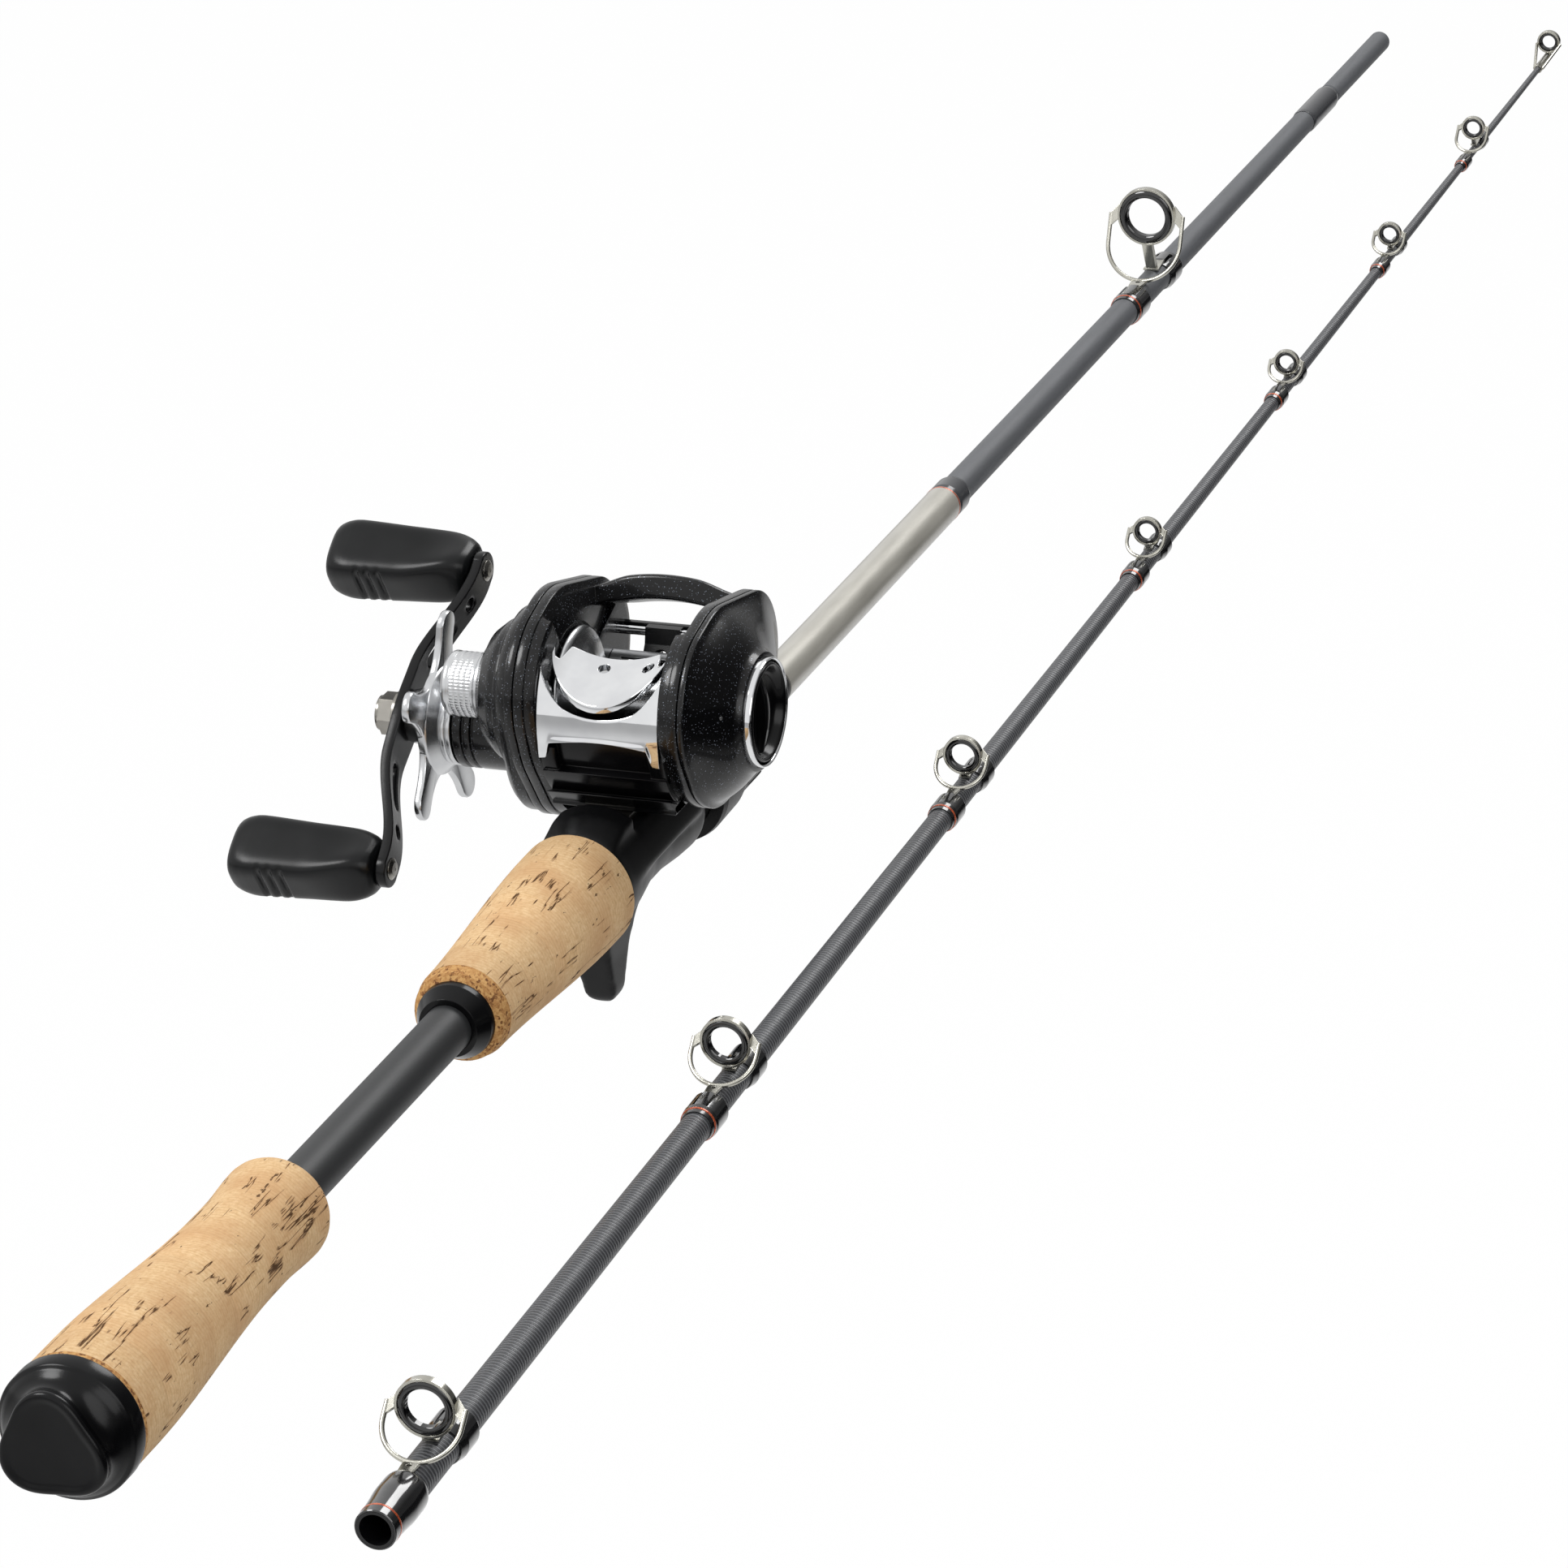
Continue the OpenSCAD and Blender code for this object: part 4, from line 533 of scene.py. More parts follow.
def reach(pairs):
    """Distance from the spool axis to the outline of circles joined in pairs by their tangents."""
    best = np.zeros(len(ROUND))
    way = np.stack([np.cos(ROUND), np.sin(ROUND)], 1)
    for p, q in pairs:
        for s in np.linspace(0, 1, 40):
            c = np.array([p[0] + (q[0] - p[0]) * s, p[1] + (q[1] - p[1]) * s])
            r = p[2] + (q[2] - p[2]) * s
            along = way @ c
            inside = r * r - (c @ c - along**2)
            best = np.maximum(best, np.where(inside > 0, along + np.sqrt(np.maximum(inside, 0)), 0))
    for _ in range(3):
        best = (np.roll(best, 1) + 2 * best + np.roll(best, -1)) / 4
    return best


GEAR_SIDE = reach([(GEAR_MAIN, GEAR_REAR), (GEAR_MAIN, FRONT), (GEAR_MAIN, GEAR_DROP), (GEAR_REAR, GEAR_DROP),
    (GEAR_DROP, FRONT), (OVER_GEAR, OVER_GEAR)])
PALM_SIDE = reach([(PALM_MAIN, PALM_REAR), (PALM_MAIN, FRONT)])


def ring_at(radii, y):
    """A ring about the spool axis; radii and y may change round it."""
    radii = np.broadcast_to(radii, ROUND.shape)
    y = np.broadcast_to(y, ROUND.shape)
    return np.stack([radii * np.cos(ROUND), y, radii * np.sin(ROUND)], 1)


def shoulder_share():
    """1 over the spool, where the plates slope down to the flange, and 0 elsewhere."""
    start, end, soft = 22, 117, 3.0  # degrees
    return np.array([ease((d - start) / soft) * ease((end - d) / soft) for d in np.degrees(ROUND)])


def reel_frame_piece():
    """Cast frame: two side plates that slope down to the spool over the top, and the crowned bridge. The deck
    and the rear walls between the plates are plain black."""
    form = Form()
    share = shoulder_share()
    for side, outline in ((1, GEAR_SIDE), (-1, PALM_SIDE)):
        rows = [(outline - 0.45, 19.3), (outline - 0.1, 19.15), (outline, 18.85), (outline, 17.2),
            (outline - 0.12, 16.95), (outline - 0.5, 16.75)]
        plain = [(outline - 0.7, 15.4), (outline - 1.0, 14.6), (outline - 1.5, 14.4), (outline - 3, 14.35)]
        slope = [(outline * 0.55 + 16.9 * 0.45, 15.85), (17.4, 14.8), (16.5, 14.4), (16.1, 14.5)]
        for (r0, y0), (r1, y1) in zip(plain, slope):
            rows.append((r0 * (1 - share) + np.minimum(r1, r0) * share, y0 * (1 - share) + y1 * share))
        rows.append((16.05 * share + (outline - 3) * (1 - share), 14.6 * share + 14.35 * (1 - share)))
        rings = [ring_at(r, side * np.asarray(y)) for r, y in rows]
        if side > 0:
            form.rings(rings)
        else:
            rings += [ring_at(15.8, -14.36), ring_at(15.8, -19.3)]
            form.rings(rings, closed_loop=True)
    # bridge over the line window
    bridge = rounded([[18.4, 17.2], [24, 14.9], [27, 13.8], [28.2, 14.8], [27.4, 16.4], [21.4, 21.4],
        [20, 21.4]], [0.8, 1.5, 0.6, 0.8, 1.0, 0.8, 0.8])
    rows = []
    for y in np.linspace(-17.4, 17.4, 37):
        crown = math.sqrt(48.0**2 - (y + 1) ** 2) - 48.0
        spread = 1.16 - 0.2 * ease((abs(y) - 8) / 7)
        rows.append([[p[0], y, 17.6 + (p[1] - 17.6) * spread + crown] for p in bridge])
    form.rings(rows)
    form.piece("frame_side_plates", "reel_black", "rod_and_reel", ["reel_frame"])
    # deck, cross bar in front of the line guide, and rear walls
    form = Form()
    root = 14.6  # half the width between the plates
    form.prism(rounded([[-16, -20], [18, -20], [28, -13], [34, -6.4], [32.4, -5.4], [27, -10.8], [18.5, -18],
        [-16, -18]], 0.4), -root, root, 0.2)
    form.prism(rounded([[31.2, 3.4], [33.6, 3.4], [33.8, 4.4], [33, 5.6], [31.2, 5.6]], 0.4), -root, root,
        0.15)
    form.prism(rounded([[-19, -15.6], [-15, -20], [-9, -20], [-12, -17.6]], 0.5), -root, root, 0.2)

    def arc(r0, r1, a0, a1, y0, y1, edge=0.35):
        turn = np.radians(np.linspace(a0, a1, 24))
        outer = [[r1 * math.cos(t), r1 * math.sin(t)] for t in turn]
        inner = [[r0 * math.cos(t), r0 * math.sin(t)] for t in turn[::-1]]
        form.prism(outer + inner, y0, y1, edge)

    arc(20.4, 23, 206, 231, -root, root)
    arc(19.4, 20.9, 174, 209.5, -root, root, 0.2)
    for y0, y1 in ((-root, -10.8), (10.8, root)):
        arc(19.8, 22.4, 190, 212, y0, y1)
    form.piece("frame_deck", "cap_black", "rod_and_reel", ["reel_frame"])


def gear_cover_piece():
    """Cover of the gear side: flat rim, bulge over the gears, stepped dome and boss of the drive shaft."""
    form = Form()
    bulge = reach([((0.5, 1, 18.8), (3.2, -9.6, 19)), ((9, -12.8, 14.9), (9, -12.8, 14.9))])
    top = reach([((0.5, 1, 17.4), (4.4, -9.8, 17.6))])
    form.rings([ring_at(r, y) for r, y in [(GEAR_SIDE - 0.5, 19.42), (GEAR_SIDE - 0.12, 19.5),
        (GEAR_SIDE, 19.8), (GEAR_SIDE, 21.1), (GEAR_SIDE - 0.15, 21.35), (GEAR_SIDE - 0.6, 21.45),
        (np.minimum(bulge + 0.9, GEAR_SIDE - 0.9), 21.35), (np.minimum(bulge + 0.25, GEAR_SIDE - 1.1), 21.5),
        (bulge, 22.0), (bulge, 24.1), (bulge - 0.15, 24.6), (top + 0.5, 26.3), (top - 0.1, 26.7),
        (top - 1.2, 26.8), (13.5, 26.8), (13.5, 24.7)]])
    # the dome is hollow, so that the clutch yoke and the pinion have room to lift
    form.lathe(rounded([[0, 30.4], [12.6, 30.4], [13.2, 25], [17.4, 25], [17.4, 27.3], [16.4, 27.6],
        [16, 29.2], [13.4, 32.4], [12.4, 32.6], [9.8, 34.5], [0, 34.5]],
        [0, 0, 0, 0, 0.4, 0.3, 0.8, 0.9, 0.5, 0.8, 0], closed=False), steps=128)
    form.lathe([[0, 33.5], [6, 33.5], [6, 42], [0, 42]])
    form.lathe(rounded([[0, 24], [12.4, 24], [11, 28.4], [10.4, 30.2], [10.4, 39.3], [9.8, 39.6], [9.8, 39.9],
        [10.4, 40.2], [10.4, 41.5], [9.8, 41.8], [9.8, 42.1], [10.4, 42.4], [10.4, 44.4], [0, 44.4]],
        [0, 0, 1.5, 1.5, 0.2, 0.1, 0.1, 0.2, 0.2, 0.1, 0.1, 0.2, 0.5, 0], closed=False), DRIVE, 112)
    form.piece("gear_side_cover", "reel_black", "rod_and_reel", ["gear_cover"])


def palm_cover_piece():
    """Palm-side cover: flaked rim, a cone that closes on the raised collar round the brake dial."""
    form = Form()
    rim = PALM_SIDE
    rows = [(rim - 0.5, 19.42), (rim - 0.12, 19.5), (rim, 19.75), (rim, 20.5), (rim - 0.15, 20.75),
        (rim - 0.75, 20.95)]
    hub = 13.5  # radius of the collar round the dial
    for t in np.linspace(0, 1, 15)[1:]:
        rows.append(((rim - 1.0) * (1 - t) + (hub + 0.9) * t + 0.9 * math.sin(math.pi * t),
            20.98 + 7.3 * t ** 1.12))
    rows += [(hub + 0.45, 28.75), (hub + 0.05, 29.5), (hub - 0.2, 30.0), (hub - 0.7, 30.22), (11.9, 30.22),
        (11.55, 30.1), (11.55, 27.4)]
    form.rings([ring_at(r, -np.asarray(y)) for r, y in rows])
    form.piece("palm_side_cover", "reel_black", "rod_and_reel", ["palm_cover"])
    # index dot of the brake dial
    dot = Form()
    dot.lathe([[0, -0.02], [0.42, -0.02], [0.38, 0.03], [0, 0.03]], steps=24)
    lean = Matrix.Rotation(math.radians(-38), 3, "Z")
    spot = np.array([-16.6, -26.65, 4.6])
    dot.points = [np.array([lean @ Vector(p) for p in dot.points[0]]) + spot]
    dot.piece("index_dot", "frame_silver", "rod_and_reel")


def brake_dial_pieces():
    """Black dial with a curved finger bar in a bright ring."""
    face = -27.7  # bottom of the dial's dish
    form = Form()
    form.lathe(rounded([[0, face], [11.3, face], [11.3, face - 3.6], [10.7, face - 4.2], [10.1, face - 3.6],
        [9.2, face - 1.6], [7, face - 0.9], [0, face - 0.8]], [0, 0, 0.4, 0.4, 0.4, 0.8, 1, 0], closed=False))
    bar = []
    for s in np.linspace(-1, 1, 41):
        z, width = 9.0 * s, 0.9 + 0.75 * math.cos(s * math.pi / 2)
        bow = 2.1 * math.cos(s * math.pi / 2) - 1.4
        top = face - 0.9 - 2.7 * (1 - 0.35 * s * s)
        bar.append([[bow - width, face - 0.5, z], [bow - width * 0.75, top + 0.25, z],
            [bow - width * 0.5, top, z], [bow + width * 0.5, top, z], [bow + width * 0.75, top + 0.25, z],
            [bow + width, face - 0.5, z]])
    form.rings(bar)
    form.piece("cast_control_dial", "cap_black", "brake_dial", ["brake_dial"])
    ring = Form()
    ring.lathe(rounded([[11.6, -29.6], [12.3, -29.6], [12.3, -31.4], [12.1, -31.7], [11.95, -31.7],
        [11.6, -31.3]], [0.1, 0.1, 0.15, 0.1, 0.1, 0.2]), steps=128)
    ring.piece("bright_dial_ring", "chrome", "rod_and_reel", ["dial_ring"])


# ------------------------------------------------------------------ bright thumb bar and rear cover
SLOPE = math.radians(20)  # of the hollow's axis
HOLLOW_R = 26  # of the hollow across the thumb bar, mm
COVER_R = 23.6  # of the rear cover about the spool axis, mm


def trough_height(x, y):
    """Height of the hollow's surface over a point of the deck; its axis slopes down to the rear."""
    lean = (x + 9.2) * math.tan(SLOPE)
    across = math.sqrt(max(HOLLOW_R * HOLLOW_R - y * y, 0))
    return 13.2 + lean + (HOLLOW_R - across) / math.cos(SLOPE)


def thumb_edge(y):
    """Rear edge of the thumb bar, seen from above."""
    return -10 - math.sqrt(max(13.9**2 - y * y, 0))


def thumb_front(y):
    """Front edge: a tongue between the spool flanges, set back beside them."""
    return max(-9.35 - 5.0 * ease((abs(y) - 10.2) / 1.4), thumb_edge(y) + 1.6)


def thumb_bar_piece():
    """Plated thumb bar: a hollowed crescent with a rolled rear rim and two screw holes."""
    form = Form()
    half, thick = 13.4, 1.5  # half the width, and the wall
    rows = []
    for y in np.sin(np.linspace(-1, 1, 61) * math.pi / 2) * half:
        back, front = thumb_edge(y), thumb_front(y)
        length = front - back
        edge_z = trough_height(back, y)
        line = [[x, y, trough_height(x, y)] for x in front - length * np.linspace(0, 1, 14)]
        # rolled rim
        for t in np.linspace(0.2, 1, 6)[:-1] * math.pi:
            line.append([back - 0.25 * math.sin(t), y, edge_z - 0.95 * (1 - math.cos(t))])
        line += [[back + 0.25, y, edge_z - 1.9], [back + 0.6, y, edge_z - 1.75]]
        under = front - length * np.linspace(1 - 1.0 / length, 0, 14)
        line += [[x, y, trough_height(x, y) - thick] for x in under]
        rows.append(line)
    form.rings(rows)
    bar = form.piece("plated_thumb_bar", "chrome", "thumb_bar", ["thumb_bar"], sharp=50)
    cut_holes(bar, [(-13.2, -8.8), (-12.6, 1.8)], 1.4)


def cut_holes(target, spots, radius):
    """Drills round holes downwards."""
    turn = np.radians(np.arange(0, 360, 10))
    for x, y in spots:
        drill = Form()
        drill.rings([[[x + radius * math.cos(t), y + radius * math.sin(t), z] for t in turn]
            for z in (4, 24)])
        tool = placed("drill", closed_mesh("drill", to_reel(drill.points[0]).tolist(), drill.faces))
        cut = target.modifiers.new("cut", "BOOLEAN")
        cut.object, cut.operation, cut.solver = tool, "DIFFERENCE", "EXACT"
        result = evaluated_mesh(target)
        target.modifiers.clear()
        target.data = result
        bpy.data.objects.remove(tool)


def rear_cover_piece():
    """Plated rear cover: horns up both sides, a shelf under the thumb bar, an arched lower edge."""
    form = Form()
    half = 14.15  # half the width
    # [x, z] steps from the upper edge: down to a shelf that leaves room for the thumb bar's stroke, and its
    # underside
    shelf = [(4.6, -4.6), (2.6, -3.9), (1.3, -3.1), (0.8, -2.0), (0.62, -0.9), (0.45, -0.25), (0.15, -0.02)]
    under = [(2.2, -4.5), (4.6, -5.4)]
    rows = []
    for y in np.sin(np.linspace(-1, 1, 81) * math.pi / 2) * half:
        u = abs(y) / half
        # upper edge follows the crescent of the thumb bar, just clear of it
        edge_x = -10.2 - math.sqrt(max(15.3**2 - y * y, 0))
        edge_z = trough_height(max(edge_x, -23.0), y) - 3.6
        upper = min(max(math.degrees(math.atan2(edge_z, edge_x)), 122.0), 170.0)
        lower = 186.0 - 3.5 * math.cos(u * math.pi / 2) + 8.5 * ease((u - 0.80) / 0.09)
        lip_x, lip_z = COVER_R * math.cos(math.radians(upper)), COVER_R * math.sin(math.radians(upper))
        line = [[lip_x + dx, y, lip_z + dz] for dx, dz in shelf]
        for s in np.linspace(0, 1, 22):
            t = math.radians(upper + 0.8 + (lower - upper - 0.8) * s)
            r = COVER_R + 0.05 + 0.35 * ease((s - 0.80) / 0.2)
            line.append([r * math.cos(t), y, r * math.sin(t)])
        for s in np.linspace(1, 0, 22):
            t = math.radians(upper + 9.5 + (lower - upper - 9.5) * s)
            line.append([(COVER_R - 1) * math.cos(t), y, (COVER_R - 1) * math.sin(t)])
        rows.append(line + [[lip_x + dx, y, lip_z + dz] for dx, dz in under])
    form.rings(rows)
    form.piece("plated_rear_cover", "chrome", "rod_and_reel", ["rear_cover"], sharp=50)


def spool_piece():
    """Turned spool: dished flanges with a broad rounded rim."""
    form = Form()
    half = [[8, 0], [8, 9.6], [8.5, 10.5], [10, 11.1], [13.9, 12.1], [14.9, 12.5], [15.55, 13.2],
        [15.55, 13.8], [15.1, 14.15], [14, 14.1], [7.6, 12.9], [5, 11.6], [1.6, 11.6]]
    profile = rounded(half + [[r, -y] for r, y in half[:0:-1]], 0.45)
    form.lathe(profile, steps=128)
    form.piece("turned_spool", "spool_silver", "spool", ["spool"], sharp=50)


# ------------------------------------------------------------------ handle side
def tension_cap_piece():
    """Spool tension cap with four rows of knurling."""
    form = Form()
    steps = 288
    angle = np.arange(steps) * 2 * math.pi / steps
    profile = rounded([[8.15, 34.95], [8.15, 35.6], [7.4, 36.2]], [0.2, 0.2, 0.2], 3, closed=False)
    rings = [np.stack([np.full(steps, r), np.full(steps, y)], 1) for r, y in profile]
    for y in np.linspace(36.3, 42.3, 61):
        row = (y - 36.7) / 1.3
        inside = 1.0 if 0 <= row <= 4 else 0.0
        rib = max(0.0, math.sin(math.pi * (row % 1.0))) ** 0.6 * inside
        wave = 0.5 + 0.5 * np.cos(angle * 60)
        rings.append(np.stack([7.26 + 0.16 * rib * wave + 0.08 * (1 - inside), np.full(steps, y)], 1))
    for r, y in rounded([[7.45, 42.5], [7.45, 43.3], [6.2, 44.45], [3.5, 44.45], [3.1, 44.2], [0.6, 44.15]],
            [0.1, 0.3, 0.5, 0.2, 0.2, 0.1], 3, closed=False):
        rings.append(np.stack([np.full(steps, r), np.full(steps, y)], 1))
    skin = [np.stack([r[:, 0] * np.cos(angle), r[:, 1], r[:, 0] * np.sin(angle)], 1) for r in rings]
    form.rings(skin)
    form.piece("knurled_tension_cap", "spool_silver", "tension_cap", ["tension_cap"], sharp=60)


def star_outline():
    """Five arms with rounded ends, the waists between them filleted."""
    arm = rounded([[9.3, -7.8], [11.4, -5.6], [14, -4.1], [18, -3.3], [21.4, -3.55]], [0, 1.5, 2, 3, 0], 4,
        closed=False)
    tip = [[21.4 + 3.58 * math.sin(a), -3.58 * math.cos(a)] for a in np.linspace(0.12, math.pi - 0.12, 14)]
    side = arm + tip + [[x, -z] for x, z in arm[::-1]]
    return anticlockwise([turned(x, z, math.radians(8 + i * 72)) for i in range(5) for x, z in side])


def star_drag_piece():
    """Star drag wheel: five slim blades bent towards the handle, dished disc and ringed collar."""
    form = Form()
    flat = star_outline()
    low, high, hub = 50.0, 51.9, flat * 0.3
    rings = [np.insert(hub + DRIVE, 1, low, 1)]
    for y, inset in [(low, 0.55), (50.12, 0.2), (50.5, 0.0), (51.4, 0.0), (51.78, 0.2), (high, 0.55)]:
        ring = shrunk(flat, inset)
        lift = np.clip((np.linalg.norm(ring, axis=1) - 11) / 14, 0, 1) ** 1.4
        rings.append(np.insert(ring + DRIVE, 1, y - lift, 1))
    form.rings(rings + [np.insert(hub + DRIVE, 1, high, 1)])
    form.lathe(rounded([[3.1, 44.95], [10.2, 44.95], [10.2, 46.0], [9.7, 46.2], [10.2, 46.4], [10.2, 47.2],
        [9.7, 47.4], [10.4, 47.8], [12.7, 49.6], [12.9, 50.2], [12.7, 51.7], [9.4, 52.2], [7.8, 53.2],
        [6.6, 55], [6, 57.7], [3.1, 57.7]], [0, 0.3, 0.2, 0.15, 0.2, 0.2, 0.15, 0.5, 0.5, 0.4, 0.5, 0.8, 0.8,
        0.8, 0.3, 0]), DRIVE, 112)
    form.piece("star_drag_wheel", "spool_silver", "star_drag", ["star_drag"], sharp=40)


def arm_height(t):
    """How far out the arm runs at a distance from its middle: it sweeps back to the knobs."""
    return 58.2 - 6.8 * ease((abs(t) - 11) / 27)


def handle_arm_piece():
    """Swept double arm, pierced by round holes and slots, black anodised with softened edges."""
    side = rounded([[-CRANK, -4.2], [-26, -4], [-13, -4.7], [0, -6.2], [13, -4.7], [26, -4], [CRANK, -4.2]],
        [0, 8, 8, 5, 8, 8, 0], 6, closed=False)
    end = [[CRANK + 4.3 * math.sin(a), -4.3 * math.cos(a)] for a in np.linspace(0.1, math.pi - 0.1, 16)]
    right = side + end
    outline = anticlockwise(right + [[-x, -y] for x, y in right])

    def circle(x, r, n=28, stretch=0.0):
        turn = np.arange(n) * 2 * math.pi / n
        return [[x + r * math.cos(t) + math.copysign(stretch, math.cos(t)), r * math.sin(t)] for t in turn]

    holes = [circle(0, 3.1)]
    for x, r in ((CRANK, 1.7), (30.5, 1.6)):
        holes += [circle(-x, r), circle(x, r)]
    holes += [circle(x, 1.8, 32, 4) for x in (-19, 19)]
    curve = bpy.data.curves.new("arm", "CURVE")
    half_thick, edge = 1.2, 0.35
    curve.dimensions, curve.fill_mode, curve.extrude = "2D", "BOTH", half_thick - edge
    curve.bevel_depth, curve.bevel_resolution, curve.offset = edge, 2, -edge
    for ring in [outline] + holes:
        spline = curve.splines.new("POLY")
        spline.points.add(len(ring) - 1)
        for point, (x, z) in zip(spline.points, ring):
            point.co = (x, z, 0, 1)
        spline.use_cyclic_u = True
    made_curve = placed("arm", curve)
    mesh = evaluated_mesh(made_curve)
    bpy.data.objects.remove(made_curve)
    shape = bmesh.new()
    shape.from_mesh(mesh)
    bmesh.ops.remove_doubles(shape, verts=shape.verts, dist=1e-4)
    for t in np.arange(-44, 44.1, 1.5):
        bmesh.ops.bisect_plane(shape, geom=shape.verts[:] + shape.edges[:] + shape.faces[:],
            plane_co=(float(t), 0, 0), plane_no=(1, 0, 0))
    for v in shape.verts:
        t, across, up = v.co
        x, z = turned(t, across, HANDLE_ANGLE)
        v.co = to_reel([x + DRIVE[0], arm_height(t) + half_thick + up, z + DRIVE[1]])
    bmesh.ops.recalc_face_normals(shape, faces=shape.faces)
    shape.to_mesh(mesh)
    shape.free()
    settle("swept_handle_arm", mesh, "arm_black", "handle", ["handle_arm"], 30)


def section(t, sizes):
    """Half size at a share of the knob's length, averaged so that it has no corners."""
    places = [0, 0.02, 0.06, 0.12, 0.35, 0.7, 0.86, 0.93, 0.965, 0.985, 1.0]
    near = min(t, 1 - t) * 0.6
    spread = near * np.linspace(-1, 1, 9) ** 3 * min(1, 0.1 / max(near, 0.02))
    return np.mean(np.interp(t + spread, places, sizes))


def knob_piece(side, name):
    """Flattened grip knob: broad faces meet in a soft crease, three short slots in the lower edge."""
    start, length = 54.1, 35.0
    around, along = 128, 150
    arm_x, arm_z = turned(side * CRANK, 0, HANDLE_ANGLE)
    theta = np.arange(around) * 2 * math.pi / around
    c, d = np.cos(theta), np.sin(theta)
    rows = []
    for k in range(along + 1):
        t = k / along
        width = section(t, [5.0, 6.0, 6.7, 7.0, 7.2, 7.75, 7.95, 7.75, 7.4, 6.8, 5.4])
        thick = section(t, [4.4, 5.3, 5.9, 6.2, 6.4, 6.75, 6.85, 6.6, 6.2, 5.6, 4.3])
        power = 2.8 + 2.6 * ease(t / 0.2) * ease((1 - t) / 0.2)
        scale = (np.abs(c) ** power + np.abs(d) ** power) ** (-1 / power)
        u, v = width * c * scale, thick * d * scale
        # three slots across the lower face
        facing = np.degrees(np.arctan2(v, u))
        band = np.exp(-((((facing % 360) - 180) / 36.0) ** 6))
        groove = sum(math.exp(-(((t - at) / 0.018) ** 4)) for at in (0.60, 0.675, 0.75))
        shrink = 1 - 0.13 * groove * band
        # the crease between the broad upper face and the lower one rises towards the arm
        x, z = turned(u * shrink, v * shrink, math.radians(34 - 24 * (1 - ease(t / 0.5))))
        rows.append(np.stack([DRIVE[0] + arm_x + x, np.full(around, start + length * t),
            DRIVE[1] + arm_z + z], 1))
    form = Form()
    form.rings(rows)
    form.piece(name.replace("knob_", "grip_knob_"), "knob_black", name, [name], sharp=60)


# ------------------------------------------------------------------ seat
def reel_seat_piece():
    """Moulded seat: the solid's shape with every transition smoothed."""
    source = frame["nodes"]["reel_seat"]
    copy = placed("moulded_seat", source.data.copy())
    remesh = copy.modifiers.new("remesh", "REMESH")
    remesh.mode, remesh.voxel_size = "VOXEL", 0.5 * MM
    soft = copy.modifiers.new("soft", "SMOOTH")
    soft.factor, soft.iterations = 0.5, 22
    mesh = evaluated_mesh(copy)
    bpy.data.objects.remove(copy)
    settle("moulded_seat", mesh, "seat_black", "rod_and_reel", ["reel_seat"], 180)


# ------------------------------------------------------------------ butt cap, mouth wrap and trim threads
def butt_radius(s):
    """Radius of the butt blank at a distance from its end."""
    return 5.05 - 1.8 * s / 873


def tip_radius(s):
    """Radius of the tip blank at a distance from its mouth."""
    return 3.8 - 3.0 * s / 930


def butt_cap_piece():
    """Moulded cap: a stepped rim, then a hollow neck that opens into a raised pad with three round lobes."""
    form = Form()
    around = np.radians(np.arange(0, 360, 3))
    lobes = 10.35 + 1.2 * np.cos(3 * (around - math.radians(86)))
    # [distance behind the grip, radius of the round part, share of the lobed outline, added to its radius]
    sections = [(-1.9, 13.6, 0, 0), (-1.9, 14.3, 0, 0), (1.9, 14.25, 0, 0), (2.3, 14.0, 0, 0),
        (2.45, 13.5, 0, 0), (2.9, 13.25, 0, 0), (3.7, 12.6, 0.15, 0.3), (4.8, 11.7, 0.45, 0.2),
        (6.0, 11, 0.75, 0), (7.0, 11, 0.95, -0.1), (7.9, 11, 1, 0.1), (8.6, 11, 1, 0.35), (9.2, 11, 1, 0.3),
        (9.6, 11, 1, 0), (9.8, 11, 1, -0.5), (9.75, 11, 1, -1.1), (9.5, 11, 1, -1.7), (9.45, 11, 1, -2.3)]
    rings = []
    for back, r, share, more in sections:
        radius = r * (1 - share) + (lobes + more) * share
        rings.append(np.stack([np.full(len(around), BUTT_AT.x - back), radius * np.cos(around),
            radius * np.sin(around)], 1))
    form.rings(rings)
    form.piece("moulded_butt_cap", "cap_black", "rod_and_reel", ["butt_cap"], sharp=50, reel=False)


def mouth_wrap_piece():
    """One smooth lacquered wrap from the mouth of the tip section over the first guide's rear foot."""
    form = Form()
    form.collar([(0, 3.86), (0, 4.05), (0.15, 4.2), (2, 4.24), (4.5, 4.3), (6.5, 4.42), (8.6, 4.64),
        (10, 4.7), (14, 4.68), (15, 4.55), (15.8, 4.2), (16.2, 3.86)], TIP_AT, TIP_TURN)
    form.piece("lacquered_mouth_wrap", "wrap_black", "tip_section", ["ferrule_wrap"], reel=False)


def trim_ring(number, at, turn, station, radius, body):
    """A narrow band of trim thread round a wrap."""
    band = [(-0.35, -0.2), (-0.3, 0), (-0.18, 0.06), (0.18, 0.06), (0.3, 0), (0.35, -0.2)]
    form = Form()
    form.collar([(station + s, radius + more) for s, more in band], at, turn, 6)
    form.piece(f"trim_thread_{number}", "trim", body, reel=False)


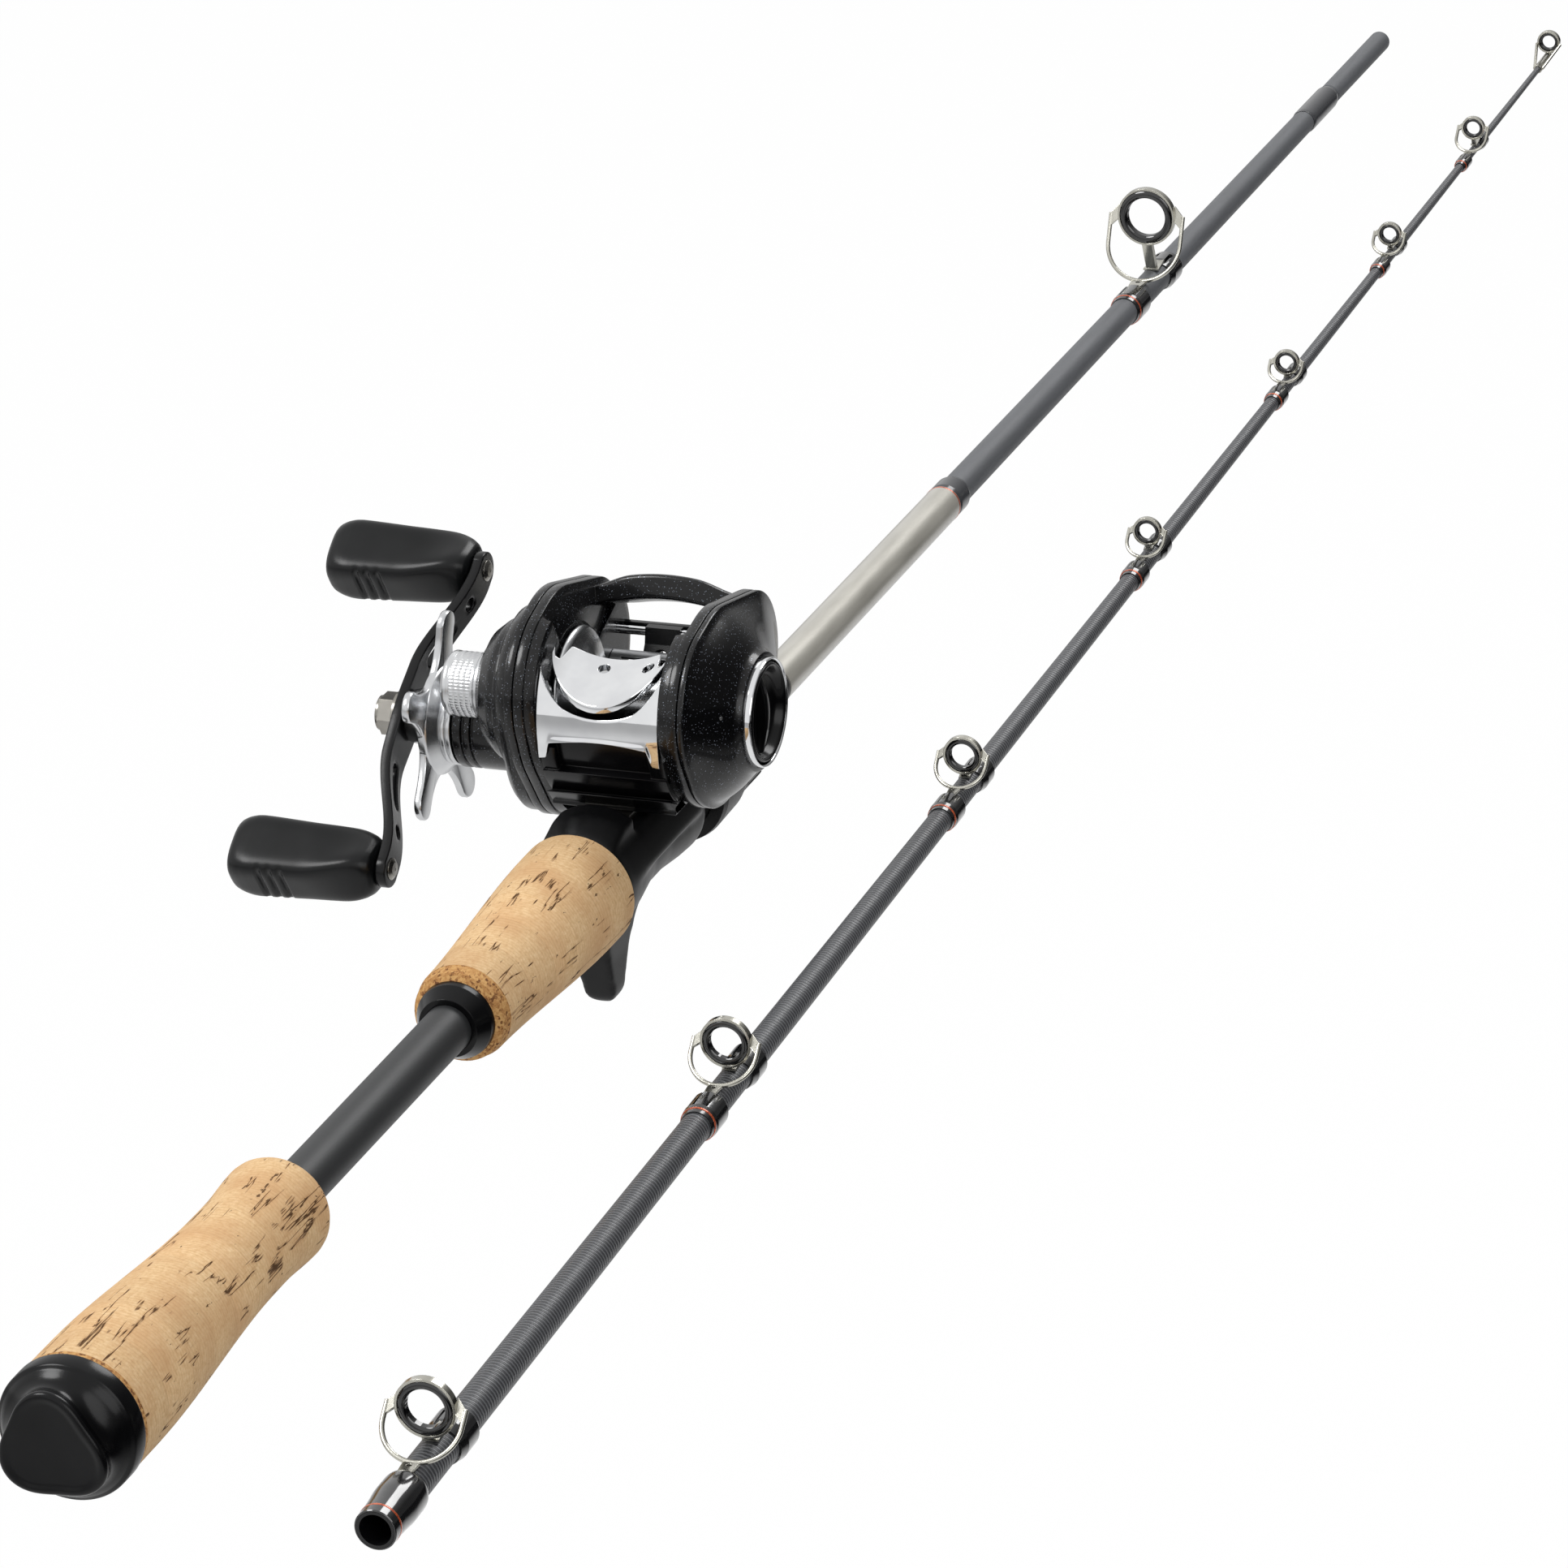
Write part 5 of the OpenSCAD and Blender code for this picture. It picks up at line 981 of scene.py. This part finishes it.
def trim_rings():
    """Trim threads on the wraps of the guides' rear feet, at the mouth and in front of the silver band."""
    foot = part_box("stripper_frame")[0][0] / MM - BUTT_AT.x
    trim_ring(0, BUTT_AT, STRAIGHT, foot - 1.2, butt_radius(foot) + 0.62, "rod_and_reel")
    trim_ring(1, TIP_AT, TIP_TURN, 2.4, 4.25, "tip_section")
    for i in range(2, 8):
        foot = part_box(f"guide_frame_{i}")[0][0] / MM - TIP_AT.x
        trim_ring(i, TIP_AT, TIP_TURN, foot - 1.2, tip_radius(foot) + 0.6, "tip_section")
    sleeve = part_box("silver_sleeve")[1][0] / MM - BUTT_AT.x
    trim_ring(8, BUTT_AT, STRAIGHT, sleeve - 0.4, 4.76, "rod_and_reel")


reel_frame_piece()
gear_cover_piece()
palm_cover_piece()
spool_piece()
brake_dial_pieces()
thumb_bar_piece()
rear_cover_piece()
tension_cap_piece()
star_drag_piece()
handle_arm_piece()
knob_piece(1, "knob_upper")
knob_piece(-1, "knob_lower")
reel_seat_piece()
butt_cap_piece()
mouth_wrap_piece()
trim_rings()


# ------------------------------------------------------------------ floor, light and camera
def backdrop():
    """A wide pale floor well below the rod, with dark cloth laid on one side of it to keep black gloss black.
    Seen directly it is plain white."""
    mesh = bpy.data.meshes.new("floor")
    size, low = 14, -0.62
    mesh.from_pydata([(-size, -size, low), (size, -size, low), (size, size, low), (-size, size, low)], [],
        [(0, 1, 2, 3)])
    floor = placed("floor", mesh)
    material, m = empty("pale_floor")
    seen = add(m, "ShaderNodeLightPath", out="Is Camera Ray")
    where = add(m, "ShaderNodeTexCoord", out="Object")
    aside = add(m, "ShaderNodeSeparateXYZ", {0: where}, "Y")
    cloth = add(m, "ShaderNodeMapRange", {"Value": aside, "From Min": -1.1, "From Max": -0.45})
    tone = add(m, "ShaderNodeMix", {0: cloth, 6: "#2A2A2B", 7: "#E6E6E6"}, 2, data_type="RGBA")
    paint = add(m, "ShaderNodeBsdfDiffuse", {"Color": tone})
    white = add(m, "ShaderNodeEmission", {"Color": (1, 1, 1, 1), "Strength": 1.0})
    share = add(m, "ShaderNodeMath", {0: seen, 1: 0.985}, operation="MULTIPLY")
    both = add(m, "ShaderNodeMixShader", {0: share, 1: paint, 2: white})
    add(m, "ShaderNodeOutputMaterial", {"Surface": both})
    mesh.materials.append(material)


def sky():
    """White when seen directly. In gloss it is white on the lit side and darker on the other, as beside a
    grey flag. As a light it is an even dome."""
    world = bpy.data.worlds.new("studio")
    bpy.context.scene.world = world
    world.use_nodes = True
    w = world.node_tree
    w.nodes.clear()
    way = add(w, "ShaderNodeTexCoord", out="Generated")
    ahead = add(w, "ShaderNodeVectorMath", {0: way, 1: (-0.25, 0.8, 0.55)}, "Value", operation="DOT_PRODUCT")
    tone = add(w, "ShaderNodeMapRange", {"Value": ahead, "From Min": -0.5, "From Max": 0.3, "To Min": 0.1,
        "To Max": 1.0})
    path = add(w, "ShaderNodeLightPath", out="Is Camera Ray")
    gloss = add(w, "ShaderNodeLightPath", out="Is Glossy Ray")
    soft = add(w, "ShaderNodeBackground", {"Color": "#FFFFFF", "Strength": 0.6})
    mirror = add(w, "ShaderNodeBackground", {"Color": "#FFFFFF", "Strength": tone})
    white = add(w, "ShaderNodeBackground", {"Color": "#FFFFFF", "Strength": 1.0})
    lit = add(w, "ShaderNodeMixShader", {0: gloss, 1: soft, 2: mirror})
    both = add(w, "ShaderNodeMixShader", {0: path, 1: lit, 2: white})
    add(w, "ShaderNodeOutputWorld", {"Surface": both})


def lamp(name, place_at, aim_at, size, power):
    """A round soft lamp."""
    light = bpy.data.lights.new(name, "AREA")
    light.shape, light.size, light.energy = "DISK", size, power
    made_lamp = placed(name, light)
    made_lamp.location = place_at
    made_lamp.rotation_euler = (Vector(aim_at) - Vector(place_at)).to_track_quat("-Z", "Y").to_euler()


def camera():
    """Long lens, looking along the rod from behind and above the butt cap."""
    right, up = Vector((0.33728, -0.94047, -0.04192)), Vector((0.37133, 0.09199, 0.92393))
    back = right.cross(up).normalized()
    at = Vector((-1.1699, -0.5354, 0.5951))
    lens = bpy.data.cameras.new("camera")
    lens.lens, lens.sensor_width, lens.sensor_height, lens.sensor_fit = 158.52, 36, 36, "HORIZONTAL"
    lens.clip_end = 50
    made_camera = placed("camera", lens)
    made_camera.matrix_world = Matrix((
        (right.x, up.x, back.x, at.x), (right.y, up.y, back.y, at.y), (right.z, up.z, back.z, at.z),
        (0, 0, 0, 1)))
    bpy.context.scene.camera = made_camera


backdrop()
sky()
camera()
lamp("key", (-0.7, 1.1, 1.5), (0.15, 0, 0.03), 0.9, 22)
lamp("fill", (-1.2, -1.2, 0.9), (0.15, 0, 0.03), 1.2, 7)
lamp("rim", (1.4, -0.4, 1.3), (0.2, 0, 0.03), 0.9, 14)
bpy.context.scene.view_settings.view_transform = "Standard"
